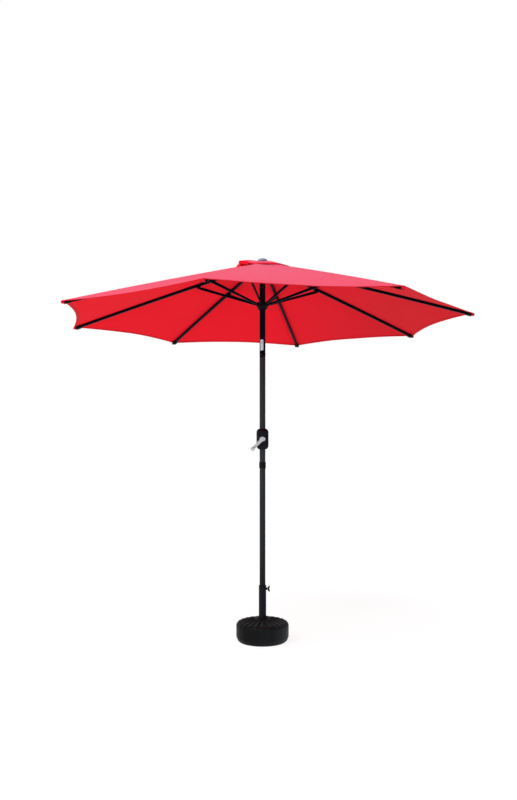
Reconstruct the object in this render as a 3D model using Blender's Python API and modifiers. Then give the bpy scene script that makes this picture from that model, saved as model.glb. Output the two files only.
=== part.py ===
"""Patio umbrella with a water-filled base.

Eight ribs and eight struts fold on a runner that a crank raises with a cord. The upper pole tilts, the pole
comes apart at its collar, turns in the base and lifts out of it.

Metres, +Z up. The origin is the centre of the base's flat underside. The crank faces -Y.
"""

import math

import bmesh
import bpy
from mathutils import Matrix, Vector

GAP = 0.0004  # between pieces that touch

# Canopy and frame. Heights follow the canopy's upper surface along a rib, canopy_height(r).
RIBS = 8
FIRST_RIB = 257.52  # azimuth of rib 1, in degrees
CANOPY_R = 1.32
CANOPY_HOLE_R = 0.085
CANOPY_APEX = 2.449
CANOPY_THICK = 0.0015
SCALLOP = 0.0345
VENT_R = 0.175
VENT_APEX = 2.4590
VENT_SLOPE = 0.235
RIB_DROP = 0.0105  # rib's centre line under the canopy
RIB_W, RIB_H = 0.012, 0.015
RIB_END = 1.290
PIVOT_R = 0.032  # hub and runner pivots
HUB_Z = 2.430
RUNNER_Z = 2.174
STRUT_R = 0.434  # rib-strut pivot, halfway down between hub and runner
STRUT_Z = (HUB_Z + RUNNER_Z) / 2
STRUT_W, STRUT_H = 0.009, 0.010
CORD_AZIMUTH = FIRST_RIB + 22.5

# Pole
POLE_R, POLE_WALL = 0.019, 0.0015
POLE_IN = POLE_R - POLE_WALL
POLE_FOOT = 0.020
JOINT_Z = 1.137
CRANK_Z = 1.306
CRANK_REACH = 0.089
TILT_Z = 1.856
POLE_TOP = 2.400

# Base
BASE_R = 0.1695
BASE_TOP = 0.1475
RAYS = 24
SLEEVE_R, SLEEVE_IN = 0.024, 0.0215
SLEEVE_TOP = 0.352
CLAMP_Z = 0.337
FILL_X, FILL_Y = 0.0875, 0.035


def canopy_height(r):
    return CANOPY_APEX - 0.268 * r - 0.0125 * r * r


def rib_azimuth(number):
    return math.radians(FIRST_RIB + (number - 1) * 360 / RIBS)


def turn_z(angle):
    return Matrix.Rotation(angle, 4, "Z")


def collection(name):
    made = bpy.data.collections.new(name)
    bpy.context.scene.collection.children.link(made)
    return made


def material(name, colour, metallic, roughness):
    made = bpy.data.materials.new(name)
    made.use_nodes = True
    shader = made.node_tree.nodes["Principled BSDF"]
    shader.inputs["Base Color"].default_value = (*colour, 1)
    shader.inputs["Metallic"].default_value = metallic
    shader.inputs["Roughness"].default_value = roughness
    return made


def part(obj, mat, parent=None):
    """Makes an object a piece of the umbrella. It keeps its place under its parent."""
    PARTS.objects.link(obj)
    look = mat.copy()
    look.name = obj.name
    if obj.data.users > 1:
        obj.data.materials.clear()
        obj.data.materials.append(mat)
        obj.material_slots[0].link = "OBJECT"
        obj.material_slots[0].material = look
    else:
        obj.data.materials.append(look)
    under(obj, parent)
    return obj


def under(obj, parent):
    if parent:
        obj.parent = parent
        obj.matrix_parent_inverse = Matrix.LocRotScale(parent.location, parent.rotation_euler, None).inverted()


def cutter(obj):
    CUTTERS.objects.link(obj)
    obj.hide_render = True
    obj.display_type = "WIRE"
    return obj


def pivot(name, at, parent=None, azimuth=0.0):
    """An empty on a joint's axis, placed in world coordinates."""
    made = bpy.data.objects.new(name, None)
    made.empty_display_size = 0.03
    made.location = at
    made.rotation_euler = (0, 0, azimuth)
    PARTS.objects.link(made)
    under(made, parent)
    return made


def from_bmesh(name, shapes, at=(0, 0, 0), rotation=(0, 0, 0)):
    """An object from functions that each add a primitive to a bmesh, in the object's own frame."""
    bm = bmesh.new()
    for shape in shapes:
        shape(bm)
    mesh = bpy.data.meshes.new(name)
    bm.to_mesh(mesh)
    bm.free()
    mesh.shade_smooth()
    mesh.set_sharp_from_angle(angle=math.radians(35))
    made = bpy.data.objects.new(name, mesh)
    made.location = at
    made.rotation_euler = rotation
    return made


def box(low, high, place=Matrix()):
    """A shape for from_bmesh: the box between two corners."""
    low, high = Vector(low), Vector(high)
    fit = Matrix.Translation((low + high) / 2) @ Matrix.Diagonal((*(high - low), 1))
    return lambda bm: bmesh.ops.create_cube(bm, size=1, matrix=place @ fit)


def rod(start, end, radius, segments=14, place=Matrix()):
    """A shape for from_bmesh: a cylinder from one point to another."""
    start, end = Vector(start), Vector(end)
    aim = (end - start).to_track_quat("Z", "Y").to_matrix().to_4x4()
    fit = Matrix.Translation((start + end) / 2) @ aim
    depth = (end - start).length
    return lambda bm: bmesh.ops.create_cone(
        bm, cap_ends=True, segments=segments, radius1=radius, radius2=radius, depth=depth, matrix=place @ fit
    )


def bar(start, end, height, width):
    """A shape for from_bmesh: a straight bar in the XZ plane, width across Y."""
    start, end = Vector(start), Vector(end)
    along = (end - start).normalized()
    across = Vector((0, 1, 0))
    frame = Matrix((along, across, along.cross(across))).transposed().to_4x4()
    size = Matrix.Diagonal(((end - start).length, width, height, 1))
    fit = Matrix.Translation((start + end) / 2) @ frame @ size
    return lambda bm: bmesh.ops.create_cube(bm, size=1, matrix=fit)


def hull(*shapes):
    """A shape for from_bmesh, used alone: the convex hull of others."""

    def shape(bm):
        for add in shapes:
            add(bm)
        spots = [vert.co.copy() for vert in bm.verts]
        bm.clear()
        for spot in spots:
            bm.verts.new(spot)
        bmesh.ops.convex_hull(bm, input=bm.verts)
        bmesh.ops.delete(bm, geom=[vert for vert in bm.verts if not vert.link_faces], context="VERTS")
        bmesh.ops.dissolve_limit(bm, angle_limit=0.001, verts=bm.verts, edges=bm.edges)
        bmesh.ops.recalc_face_normals(bm, faces=bm.faces)

    return shape


def turned(name, profile, steps=20, at=(0, 0, 0), rotation=(0, 0, 0), closed=False):
    """A piece turned about its own Z from (radius, height) points that run down its outer side."""
    bm = bmesh.new()
    points = [bm.verts.new((r, 0, z)) for r, z in profile]
    for a, b in zip(points, points[1:]):
        bm.edges.new((a, b))
    if closed:
        bm.edges.new((points[-1], points[0]))
    mesh = bpy.data.meshes.new(name)
    bm.to_mesh(mesh)
    bm.free()
    made = bpy.data.objects.new(name, mesh)
    made.location = at
    made.rotation_euler = rotation
    screw = made.modifiers.new("Turn", "SCREW")
    screw.steps = steps
    screw.render_steps = steps
    screw.use_merge_vertices = True
    screw.merge_threshold = 0.00001
    screw.use_smooth_shade = True
    return made


def tube(name, outer, inner, low, high, steps=20, at=(0, 0, 0), rotation=(0, 0, 0)):
    profile = [(outer, high), (outer, low), (inner, low), (inner, high)]
    return turned(name, profile, steps, at, rotation, closed=True)


def boolean(obj, other, operation="DIFFERENCE"):
    step = obj.modifiers.new(f"{operation.title()} {other.name}", "BOOLEAN")
    step.operation = operation
    step.object = other
    step.solver = "EXACT"


def baked(obj, helpers):
    """The mesh of a piece that is made once and used many times. Its helpers go."""
    bpy.context.view_layer.update()
    graph = bpy.context.evaluated_depsgraph_get()
    mesh = bpy.data.meshes.new_from_object(obj.evaluated_get(graph), depsgraph=graph)
    for done in (obj, *helpers):
        bpy.data.objects.remove(done)
    return mesh


def mapped_grid(across, along, place):
    """A shape for from_bmesh: a grid bent by place(column, row), with edges that meet welded."""

    def shape(bm):
        bmesh.ops.create_grid(bm, x_segments=across, y_segments=along, size=0.5)
        for vert in bm.verts:
            vert.co = place(round((vert.co.x + 0.5) * across), round((vert.co.y + 0.5) * along))
        bmesh.ops.remove_doubles(bm, verts=bm.verts, dist=0.00001)
        bmesh.ops.recalc_face_normals(bm, faces=bm.faces)

    return shape


def panelled(name, inner_r, outer_r, height, scallop, across, along):
    """A canopy of flat panels between the ribs, as a thin sheet under height(r), its rim curved inwards."""

    def place(column, row):
        number, step = divmod(column, across)
        t = step / across
        share = row / along
        r = inner_r + (outer_r - inner_r) * share
        inward = 1 - scallop * share**2 * 4 * t * (1 - t)
        ends = [turn_z(rib_azimuth(number + n)) @ Vector((r * inward, 0, 0)) for n in (1, 2)]
        spot = ends[0].lerp(ends[1], t)
        spot.z = height(r * inward)
        return spot

    sheet = from_bmesh(name, [mapped_grid(RIBS * across, along, place), face_up])
    thick = sheet.modifiers.new("Fabric", "SOLIDIFY")
    thick.thickness = CANOPY_THICK
    thick.offset = -1
    return sheet


def face_up(bm):
    bm.normal_update()
    if sum(face.normal.z for face in bm.faces) < 0:
        bmesh.ops.reverse_faces(bm, faces=bm.faces)


for old in list(bpy.data.objects):
    bpy.data.objects.remove(old)
PARTS = collection("patio_umbrella")
CUTTERS = collection("cutters")

BLACK_STEEL = material("black steel", (0.012, 0.013, 0.018), 0.6, 0.45)
CHARCOAL = material("charcoal steel", (0.035, 0.035, 0.040), 0.6, 0.40)
BLACK_PLASTIC = material("black plastic", (0.010, 0.011, 0.013), 0.0, 0.55)
SILVER = material("silver metal", (0.45, 0.46, 0.47), 0.9, 0.35)
GREY_BLUE = material("grey-blue plastic", (0.17, 0.20, 0.30), 0.0, 0.45)
RED_FABRIC = material("red fabric", (0.62, 0.010, 0.030), 0.0, 0.90)
WATER = material("water", (0.30, 0.36, 0.38), 0.0, 0.10)
BLACK_CORD = material("cord", (0.012, 0.012, 0.014), 0.0, 0.80)

AXIS_X = (0, math.pi / 2, 0)  # turns a piece's own Z to +X
AXIS_FRONT = (math.pi / 2, 0, 0)  # turns a piece's own Z to -Y


# Base shell: a fluted top with rays, an upright side, a flat underside with a recess, a bore for the sleeve.
# Each row is radius, height, share of the rays' depth, share of the rim's scallop.
BASE_ROWS = [
    (SLEEVE_R + 0.0006, BASE_TOP, 0.0, 0.0),
    (0.0440, BASE_TOP, 0.0, 0.0),
    (0.0500, 0.1462, 0.3, 0.0),
    (0.0700, 0.1420, 1.0, 0.0),
    (0.1050, 0.1352, 1.0, 0.0),
    (0.1350, 0.1292, 1.0, 0.0),
    (0.1540, 0.1245, 1.0, 0.3),
    (0.1655, 0.1160, 0.4, 1.0),
    (BASE_R, 0.1040, 0.0, 1.0),
    (BASE_R, 0.0320, 0.0, 0.3),
    (0.1610, 0.0090, 0.0, 0.0),
    (0.1500, 0.0000, 0.0, 0.0),
    (0.0460, 0.0000, 0.0, 0.0),
    (0.0460, 0.0065, 0.0, 0.0),
    (SLEEVE_R + 0.0006, 0.0065, 0.0, 0.0),
]
SIDES = RAYS * 2


def base_point(column, row):
    r, z, ray, scallop = BASE_ROWS[row % len(BASE_ROWS)]
    angle = 2 * math.pi * (column % SIDES) / SIDES
    wave = math.cos(RAYS * angle)
    r += 0.0008 * scallop * wave
    return Vector((r * math.cos(angle), r * math.sin(angle), z + 0.0018 * ray * wave))


base = from_bmesh("base_shell", [mapped_grid(SIDES, len(BASE_ROWS), base_point)])
boss = cutter(from_bmesh("fill_boss", [rod((FILL_X, FILL_Y, 0.120), (FILL_X, FILL_Y, 0.140), 0.0185, 20)]))
cavity_profile = [
    (0.0285, 0.1395),
    (0.0500, 0.1390),
    (0.1050, 0.1285),
    (0.1500, 0.1190),
    (0.1620, 0.1120),
    (0.1655, 0.1020),
    (0.1655, 0.0340),
    (0.1580, 0.0120),
    (0.1485, 0.0035),
    (0.0500, 0.0035),
    (0.0500, 0.0100),
    (0.0285, 0.0100),
]
cavity = cutter(turned("base_cavity", cavity_profile, 24, closed=True))
fill_hole = cutter(from_bmesh("fill_hole", [rod((FILL_X, FILL_Y, 0.110), (FILL_X, FILL_Y, 0.150), 0.0115)]))
fill_seat = cutter(from_bmesh("fill_seat", [rod((FILL_X, FILL_Y, 0.1345), (FILL_X, FILL_Y, 0.150), 0.0150)]))
boolean(base, cavity)
boolean(base, boss, "UNION")
boolean(base, fill_hole)
boolean(base, fill_seat)
part(base, BLACK_PLASTIC)

water_profile = [
    (0.0300, 0.1040),
    (0.1630, 0.1040),
    (0.1630, 0.0360),
    (0.1560, 0.0155),
    (0.1460, 0.0050),
    (0.0515, 0.0050),
    (0.0515, 0.0112),
    (0.0300, 0.0112),
]
part(turned("water_fill", water_profile, 24, closed=True), WATER)

cap_profile = [
    (0, 0.0032),
    (0.0135, 0.0032),
    (0.0145, 0.0022),
    (0.0145, 0),
    (0.0110, 0),
    (0.0110, -0.0095),
    (0, -0.0095),
]
fill_cap = turned("fill_cap", cap_profile, 16, at=(FILL_X, FILL_Y, 0.1349))
grip_ridge = box((-0.009, -0.0015, 0.002), (0.009, 0.0015, 0.0055))
cap_grip = cutter(from_bmesh("cap_grip", [grip_ridge], fill_cap.location))
boolean(fill_cap, cap_grip, "UNION")
part(fill_cap, BLACK_PLASTIC)

# Sleeve: a cup of tube with a flange under the base, a ring over it, a boss for the clamp screw.
sleeve_profile = [
    (0, 0.0125),
    (SLEEVE_IN, 0.0125),
    (SLEEVE_IN, SLEEVE_TOP),
    (SLEEVE_R, SLEEVE_TOP),
    (SLEEVE_R, 0.0055),
    (0.0420, 0.0055),
    (0.0420, 0.0015),
    (0, 0.0015),
]
sleeve = turned("sleeve_tube", sleeve_profile)
clamp_boss = cutter(from_bmesh("clamp_boss", [rod((0.0228, 0, CLAMP_Z), (0.0310, 0, CLAMP_Z), 0.0085)]))
clamp_hole = cutter(from_bmesh("clamp_hole", [rod((0.010, 0, CLAMP_Z), (0.040, 0, CLAMP_Z), 0.0044, 12)]))
boolean(sleeve, clamp_boss, "UNION")
boolean(sleeve, clamp_hole)
part(sleeve, BLACK_STEEL)
flange_profile = [
    (0.0275, 0.1605),
    (0.0300, 0.1545),
    (0.0380, 0.1515),
    (0.0380, BASE_TOP + GAP),
    (SLEEVE_R + GAP, BASE_TOP + GAP),
    (SLEEVE_R + GAP, 0.1605),
]
part(turned("sleeve_flange", flange_profile, closed=True), BLACK_PLASTIC)

adaptor_profile = [
    (0.0245, 0.3585),
    (0.0255, 0.3570),
    (0.0255, SLEEVE_TOP + GAP),
    (0.0211, SLEEVE_TOP + GAP),
    (0.0211, 0.3000),
    (0.0195, 0.3000),
    (0.0195, 0.3585),
]
adaptor = turned("sleeve_adaptor", adaptor_profile, closed=True)
notch = cutter(from_bmesh("adaptor_notch", [box((0.015, -0.006, 0.290), (0.024, 0.006, CLAMP_Z + 0.006))]))
boolean(adaptor, notch)
part(adaptor, BLACK_PLASTIC)

# Clamp screw: a rod with a wing knob, and a loose washer that travels with it.
clamp = (0, 0, CLAMP_Z)
part(tube("clamp_washer", 0.0095, 0.0044, 0.0315, 0.0332, 20, clamp, AXIS_X), SILVER)
clamp_axis = pivot("clamp_axis", clamp)
screw_profile = [(0, 0.0420), (0.0040, 0.0420), (0.0040, 0.0200), (0.0030, 0.0194), (0, 0.0194)]
part(turned("clamp_screw", screw_profile, 16, clamp, AXIS_X), SILVER, clamp_axis)
knob = from_bmesh("clamp_knob", [rod((0.0336, 0, 0), (0.0445, 0, 0), 0.0085)], clamp)
for side in (-1, 1):
    tip = (0.0415, 0, side * 0.0145)
    wing = cutter(from_bmesh(f"knob_wing_{side}", [bar((0.0375, 0, 0), tip, 0.0075, 0.0050)], clamp))
    lobe_rod = rod((tip[0], -0.0032, tip[2]), (tip[0], 0.0032, tip[2]), 0.0045, 10)
    lobe = cutter(from_bmesh(f"knob_lobe_{side}", [lobe_rod], clamp))
    boolean(knob, wing, "UNION")
    boolean(knob, lobe, "UNION")
knob_bore = cutter(from_bmesh("knob_bore", [rod((0.0300, 0, 0), (0.0424, 0, 0), 0.0043, 12)], clamp))
boolean(knob, knob_bore)
part(knob, BLACK_PLASTIC, clamp_axis)

# Lower pole, its foot plug and the collar that takes the middle pole.
lower_axis = pivot("pole_axis", (0, 0, POLE_FOOT))
part(tube("lower_pole", POLE_R, POLE_IN, POLE_FOOT, JOINT_Z), CHARCOAL, lower_axis)
foot_profile = [
    (0, 0.060),
    (0.0170, 0.060),
    (0.0170, POLE_FOOT - GAP),
    (POLE_R, POLE_FOOT - GAP),
    (POLE_R, 0.0130),
    (0, 0.0130),
]
part(turned("pole_foot", foot_profile), BLACK_PLASTIC, lower_axis)
collar_profile = [
    (0.0213, JOINT_Z + 0.020),
    (0.0221, JOINT_Z + 0.018),
    (0.0221, JOINT_Z - 0.018),
    (0.0213, JOINT_Z - 0.020),
    (POLE_R + GAP, JOINT_Z - 0.020),
    (POLE_R + GAP, JOINT_Z + 0.020),
]
part(turned("joint_collar", collar_profile, closed=True), BLACK_PLASTIC, lower_axis)

# Middle pole, its spigot, and the winder's housing in two halves.
middle_axis = pivot("middle_axis", (0, 0, JOINT_Z), lower_axis)
middle = tube("middle_pole", POLE_R, POLE_IN, JOINT_Z + GAP, TILT_Z - 0.020)
shaft_hole = cutter(from_bmesh("shaft_hole", [rod((0, -0.010, CRANK_Z), (0, -0.045, CRANK_Z), 0.0058)]))
boolean(middle, shaft_hole)
part(middle, CHARCOAL, middle_axis)
part(tube("pole_spigot", 0.0171, 0.0150, 1.060, 1.215), SILVER, middle_axis)

body = box((-0.039, -0.036, CRANK_Z - 0.068), (0.039, 0.036, CRANK_Z + 0.068))
pocket = cutter(
    from_bmesh("housing_pocket", [box((-0.031, -0.028, CRANK_Z - 0.058), (0.031, 0.028, CRANK_Z + 0.058))])
)
hollow = pocket.modifiers.new("Rounded", "BEVEL")
hollow.width = 0.017
hollow.segments = 3
pole_bore = cutter(from_bmesh("housing_bore", [rod((0, 0, 1.20), (0, 0, 1.42), POLE_R + GAP, 20)]))
for name, side in (("housing_front", -1), ("housing_back", 1)):
    half = from_bmesh(name, [body])
    rounded = half.modifiers.new("Rounded", "BEVEL")
    rounded.width = 0.025
    rounded.segments = 4
    ends = sorted((-side * GAP / -2, -side * 0.05))
    other = cutter(from_bmesh(f"{name}_split", [box((-0.05, ends[0], 1.20), (0.05, ends[1], 1.42))]))
    boolean(half, other)
    boolean(half, pocket)
    boolean(half, pole_bore)
    if side < 0:
        boolean(half, shaft_hole)
    part(half, BLACK_PLASTIC, middle_axis)

# Crank: a spool on a shaft inside the pole, an arm outside, a knob that spins on the arm's pin.
crank_axis = pivot("crank_axis", (0, 0, CRANK_Z), middle_axis)
spool_profile = [
    (0, 0.0460),
    (0.0050, 0.0460),
    (0.0050, 0.0108),
    (0.0120, 0.0108),
    (0.0120, 0.0090),
    (0.0080, 0.0090),
    (0.0080, -0.0090),
    (0.0120, -0.0090),
    (0.0120, -0.0108),
    (0.0040, -0.0108),
    (0.0040, -0.0165),
    (0, -0.0165),
]
part(turned("crank_spool", spool_profile, 14, (0, 0, CRANK_Z), AXIS_FRONT), SILVER, crank_axis)
reach = CRANK_REACH / math.sqrt(2)
oval = Matrix.Diagonal((1, 1, 0.76, 1))
arm = from_bmesh("crank_arm", [rod((0, -0.0368, 0), (0, -0.0500, 0), 0.0188, 20, oval)], (0, 0, CRANK_Z))
arm_taper = hull(
    rod((-0.004, -0.0430, -0.004), (-0.004, -0.0500, -0.004), 0.0106, 20),
    rod((-reach, -0.0430, -reach), (-reach, -0.0500, -reach), 0.0082),
)
arm_bar = cutter(from_bmesh("arm_bar", [arm_taper], arm.location))
arm_pin = cutter(
    from_bmesh("arm_pin", [rod((-reach, -0.0470, -reach), (-reach, -0.0800, -reach), 0.0030, 10)], arm.location)
)
arm_socket = cutter(from_bmesh("arm_socket", [rod((0, -0.0300, 0), (0, -0.0466, 0), 0.0053)], arm.location))
boolean(arm, arm_bar, "UNION")
boolean(arm, arm_pin, "UNION")
boolean(arm, arm_socket)
part(arm, SILVER, crank_axis)
knob_profile = [
    (0, 0.0880),
    (0.0090, 0.0880),
    (0.0130, 0.0840),
    (0.0130, 0.0600),
    (0.0100, 0.0525),
    (0.0034, 0.0525),
    (0.0034, 0.0810),
    (0, 0.0810),
]
knob_axis = pivot("crank_knob_axis", (-reach, 0, CRANK_Z - reach), crank_axis)
part(turned("crank_knob", knob_profile, 16, knob_axis.location, AXIS_FRONT), SILVER, knob_axis)

# Tilt joint: a yoke on the middle pole, a pin along X, a tongue in the upper pole.
cord_hole = cutter(from_bmesh("tilt_cord_hole", [rod((0, 0.0075, 1.79), (0, 0.0075, 1.92), 0.0024, 8)]))
pin_hole = cutter(from_bmesh("tilt_pin_hole", [rod((-0.03, 0, TILT_Z), (0.03, 0, TILT_Z), 0.0034)]))
pole_outline = cutter(from_bmesh("pole_outline", [rod((0, 0, 1.79), (0, 0, 1.92), POLE_R, 20)]))
yoke_profile = [
    (0, TILT_Z - 0.0135),
    (POLE_R, TILT_Z - 0.0135),
    (POLE_R, TILT_Z - 0.0196),
    (0.0171, TILT_Z - 0.0196),
    (0.0171, 1.800),
    (0, 1.800),
]
yoke = turned("tilt_yoke", yoke_profile)
yoke_block = cutter(from_bmesh("yoke_block", [box((-0.020, -0.0125, TILT_Z - 0.015), (0.020, 0.0125, TILT_Z))]))
yoke_round = cutter(from_bmesh("yoke_round", [rod((-0.020, 0, TILT_Z), (0.020, 0, TILT_Z), 0.0125, 20)]))
yoke_slot = cutter(
    from_bmesh("yoke_slot", [box((-0.0075, -0.02, TILT_Z - 0.0132), (0.0075, 0.02, TILT_Z + 0.02))])
)
boolean(yoke, yoke_block, "UNION")
boolean(yoke, yoke_round, "UNION")
boolean(yoke, pole_outline, "INTERSECT")
boolean(yoke, yoke_slot)
boolean(yoke, pin_hole)
boolean(yoke, cord_hole)
part(yoke, BLACK_STEEL, middle_axis)
pin_profile = [
    (0, 0.0202),
    (0.0052, 0.0202),
    (0.0052, 0.0193),
    (0.0030, 0.0193),
    (0.0030, -0.0198),
    (0, -0.0198),
]
part(turned("tilt_pin", pin_profile, 12, (0, 0, TILT_Z), AXIS_X), SILVER, middle_axis)

tilt_axis = pivot("tilt_axis", (0, 0, TILT_Z), middle_axis)
tongue_profile = [
    (0, 1.905),
    (0.0171, 1.905),
    (0.0171, TILT_Z + 0.0194),
    (POLE_R, TILT_Z + 0.0194),
    (POLE_R, TILT_Z + 0.0135),
    (0, TILT_Z + 0.0135),
]
tongue = turned("tilt_tongue", tongue_profile)
tongue_box = box((-0.007, -0.012, TILT_Z), (0.007, 0.012, TILT_Z + 0.015))
tongue_block = cutter(from_bmesh("tongue_block", [tongue_box]))
tongue_round = cutter(from_bmesh("tongue_round", [rod((-0.007, 0, TILT_Z), (0.007, 0, TILT_Z), 0.0120, 20)]))
boolean(tongue, tongue_block, "UNION")
boolean(tongue, tongue_round, "UNION")
boolean(tongue, pin_hole)
boolean(tongue, cord_hole)
part(tongue, BLACK_STEEL, tilt_axis)

# Upper pole with the plate and the button that frees the tilt.
upper = tube("upper_pole", POLE_R, POLE_IN, TILT_Z + 0.0198, POLE_TOP)
FRONT = math.radians(262)
BUTTON_Z = 1.925
button_way = Vector((math.cos(FRONT), math.sin(FRONT), 0))
button_spot = Vector((0, 0, BUTTON_Z))
button_hole = cutter(
    from_bmesh("button_hole", [rod(button_spot + 0.012 * button_way, button_spot + 0.026 * button_way, 0.0046)])
)
boolean(upper, button_hole)
part(upper, BLACK_STEEL, tilt_axis)


def plate_point(column, row):
    angle = FRONT + math.radians(34) * (column / 4 - 1)
    return Vector((0.0194 * math.cos(angle), 0.0194 * math.sin(angle), 1.8775 + 0.0705 * row))


plate = from_bmesh("tilt_plate", [mapped_grid(8, 1, plate_point)])
plate_thick = plate.modifiers.new("Sheet", "SOLIDIFY")
plate_thick.thickness = 0.0009
plate_thick.offset = 1 if plate.data.polygons[0].normal.dot(button_way) > 0 else -1
boolean(plate, button_hole)
part(plate, SILVER, tilt_axis)
button_profile = [
    (0, 0.0211),
    (0.0036, 0.0211),
    (0.0042, 0.0206),
    (0.0042, 0.0157),
    (0.0062, 0.0157),
    (0.0062, 0.0142),
    (0, 0.0142),
]
button_turn = (math.pi / 2, 0, FRONT + math.pi / 2)
part(turned("tilt_button", button_profile, 12, button_spot, button_turn), SILVER, tilt_axis)

# Hub: a slotted crown in the top of the pole, with the cord's pulley inside.
toward_cord = turn_z(math.radians(CORD_AZIMUTH))
rib_turns = [turn_z(rib_azimuth(number)) for number in range(1, RIBS + 1)]
PULLEY_R, PULLEY_Z = 0.0140, 2.4205
hub_profile = [
    (0, 2.447),
    (0.0300, 2.447),
    (0.0385, 2.4425),
    (0.0385, 2.418),
    (0.0215, 2.418),
    (0.0215, POLE_TOP + GAP),
    (0.0171, POLE_TOP + GAP),
    (0.0171, 2.372),
    (0, 2.372),
]
hub = turned("top_hub", hub_profile, 24)
hub_slots = cutter(
    from_bmesh("hub_slots", [box((0.0258, -0.0044, 2.405), (0.050, 0.0044, 2.4362), t) for t in rib_turns])
)
hub_pins = cutter(
    from_bmesh(
        "hub_pin_holes",
        [rod((PIVOT_R, -0.0064, HUB_Z), (PIVOT_R, 0.0064, HUB_Z), 0.0024, 8, t) for t in rib_turns],
    )
)
hub_bore = cutter(from_bmesh("hub_bore", [rod((0, 0, 2.365), (0, 0, 2.402), 0.0105)]))
pulley_slot = cutter(
    from_bmesh("pulley_slot", [box((0.002, -0.0027, POLE_TOP - 0.0005), (0.0265, 0.0027, 2.434), toward_cord)])
)
axle_hole = cutter(
    from_bmesh(
        "pulley_axle_hole",
        [rod((PULLEY_R, -0.0057, PULLEY_Z), (PULLEY_R, 0.0057, PULLEY_Z), 0.0021, 8, toward_cord)],
    )
)
stem_hole = cutter(from_bmesh("finial_hole", [rod((0, 0, 2.4372), (0, 0, 2.455), 0.0045)]))
for hole in (hub_slots, hub_pins, hub_bore, pulley_slot, axle_hole, stem_hole):
    boolean(hub, hole)
part(hub, BLACK_PLASTIC, tilt_axis)

pulley_at = toward_cord @ Vector((PULLEY_R, 0, PULLEY_Z))
pulley_axis = pivot("pulley_axis", pulley_at, tilt_axis)
pulley_profile = [
    (0, 0.0053),
    (0.0018, 0.0053),
    (0.0018, 0.0022),
    (0.0108, 0.0022),
    (0.0108, 0.0016),
    (0.0085, 0.0016),
    (0.0085, -0.0016),
    (0.0108, -0.0016),
    (0.0108, -0.0022),
    (0.0018, -0.0022),
    (0.0018, -0.0053),
    (0, -0.0053),
]
pulley_turn = (math.pi / 2, 0, math.radians(CORD_AZIMUTH + 180))
part(turned("hub_pulley", pulley_profile, 14, pulley_at, pulley_turn), SILVER, pulley_axis)

part(tube("vent_spacer", 0.0140, 0.0049, 2.447 + GAP, 2.4538, 14), BLACK_PLASTIC, tilt_axis)
finial_profile = [
    (0, 2.4760),
    (0.0120, 2.4750),
    (0.0230, 2.4715),
    (0.0310, 2.4650),
    (0.0335, 2.4590),
    (0.0335, 2.4546),
    (0.0060, 2.4594),
    (0.0040, 2.4594),
    (0.0040, 2.4380),
    (0, 2.4380),
]
part(turned("finial", finial_profile), GREY_BLUE, tilt_axis)

# Canopy and the small vent canopy over its opening.
part(panelled("canopy", CANOPY_HOLE_R, CANOPY_R, canopy_height, SCALLOP, 6, 4), RED_FABRIC, tilt_axis)
vent = panelled("vent_canopy", 0.008, VENT_R, lambda r: VENT_APEX - VENT_SLOPE * r, SCALLOP, 4, 2)
part(vent, RED_FABRIC, tilt_axis)


# Ribs: a hollow bar that follows the canopy, a hub pin, a tab under it for the strut.
# Made once, at a rib's pivot.
def beam(name, start, end, width, height):
    """A bar of constant section along the rib's curve, from one radius to another."""

    def shape(bm):
        box((start - PIVOT_R, -width / 2, -height / 2), (end - PIVOT_R, width / 2, height / 2))(bm)
        pieces = max(1, round((end - start) / 0.2))
        for step in range(1, pieces):
            x = start - PIVOT_R + (end - start) * step / pieces
            geometry = [*bm.verts, *bm.edges, *bm.faces]
            bmesh.ops.bisect_plane(bm, geom=geometry, plane_co=(x, 0, 0), plane_no=(1, 0, 0))
        for vert in bm.verts:
            vert.co.z += canopy_height(vert.co.x + PIVOT_R) - RIB_DROP - HUB_Z

    return cutter(from_bmesh(name, [shape]))


strut_at = Vector((STRUT_R - PIVOT_R, 0, STRUT_Z - HUB_Z))
rib_eye = rod((0, -0.0040, 0), (0, 0.0040, 0), 0.0055)
rib_root = hull(rib_eye, rod((0.026, -0.0040, -0.0073), (0.026, 0.0040, -0.0073), 0.0055))
tab = box(strut_at + Vector((-0.007, -0.0015, 0)), strut_at + Vector((0.007, 0.0015, 0.0112)))
tab_half, hole_half = Vector((0, 0.0015, 0)), Vector((0, 0.0100, 0))
rib = beam("rib_model", 0.056, RIB_END - 0.026, RIB_W, RIB_H)
rib_adds = [
    cutter(from_bmesh("rib_root", [rib_root])),
    beam("rib_neck", RIB_END - 0.028, RIB_END, 0.0090, 0.0110),
    cutter(from_bmesh("rib_pin", [rod((0, -0.0060, 0), (0, 0.0060, 0), 0.0020, 8)])),
    cutter(from_bmesh("tab_plate", [tab])),
    cutter(from_bmesh("tab_end", [rod(strut_at - tab_half, strut_at + tab_half, 0.007, 12)])),
]
rib_cuts = [
    cutter(from_bmesh("tab_hole", [rod(strut_at - hole_half, strut_at + hole_half, 0.0024, 8)])),
    beam("rib_hollow", 0.070, RIB_END - 0.031, RIB_W - 0.0024, RIB_H - 0.0024),
    beam("rib_neck_hollow", RIB_END - 0.033, RIB_END + 0.010, 0.0066, 0.0086),
]
for piece in rib_adds:
    boolean(rib, piece, "UNION")
for piece in rib_cuts:
    boolean(rib, piece)
rib_mesh = baked(rib, rib_adds + rib_cuts)

# A rib's end cap, with a flat wing at each side that spreads the cloth's corner.
tip = beam("tip_model", RIB_END - 0.023, RIB_END + 0.024, 0.0125, 0.0149)
tip_wings = beam("tip_wings", RIB_END - 0.014, RIB_END + 0.018, 0.0280, 0.0090)
tip_socket = beam("tip_socket", RIB_END - 0.026, RIB_END + GAP, 0.0098, 0.0118)
boolean(tip, tip_wings, "UNION")
boolean(tip, tip_socket)
tip_mesh = baked(tip, [tip_wings, tip_socket])

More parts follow.
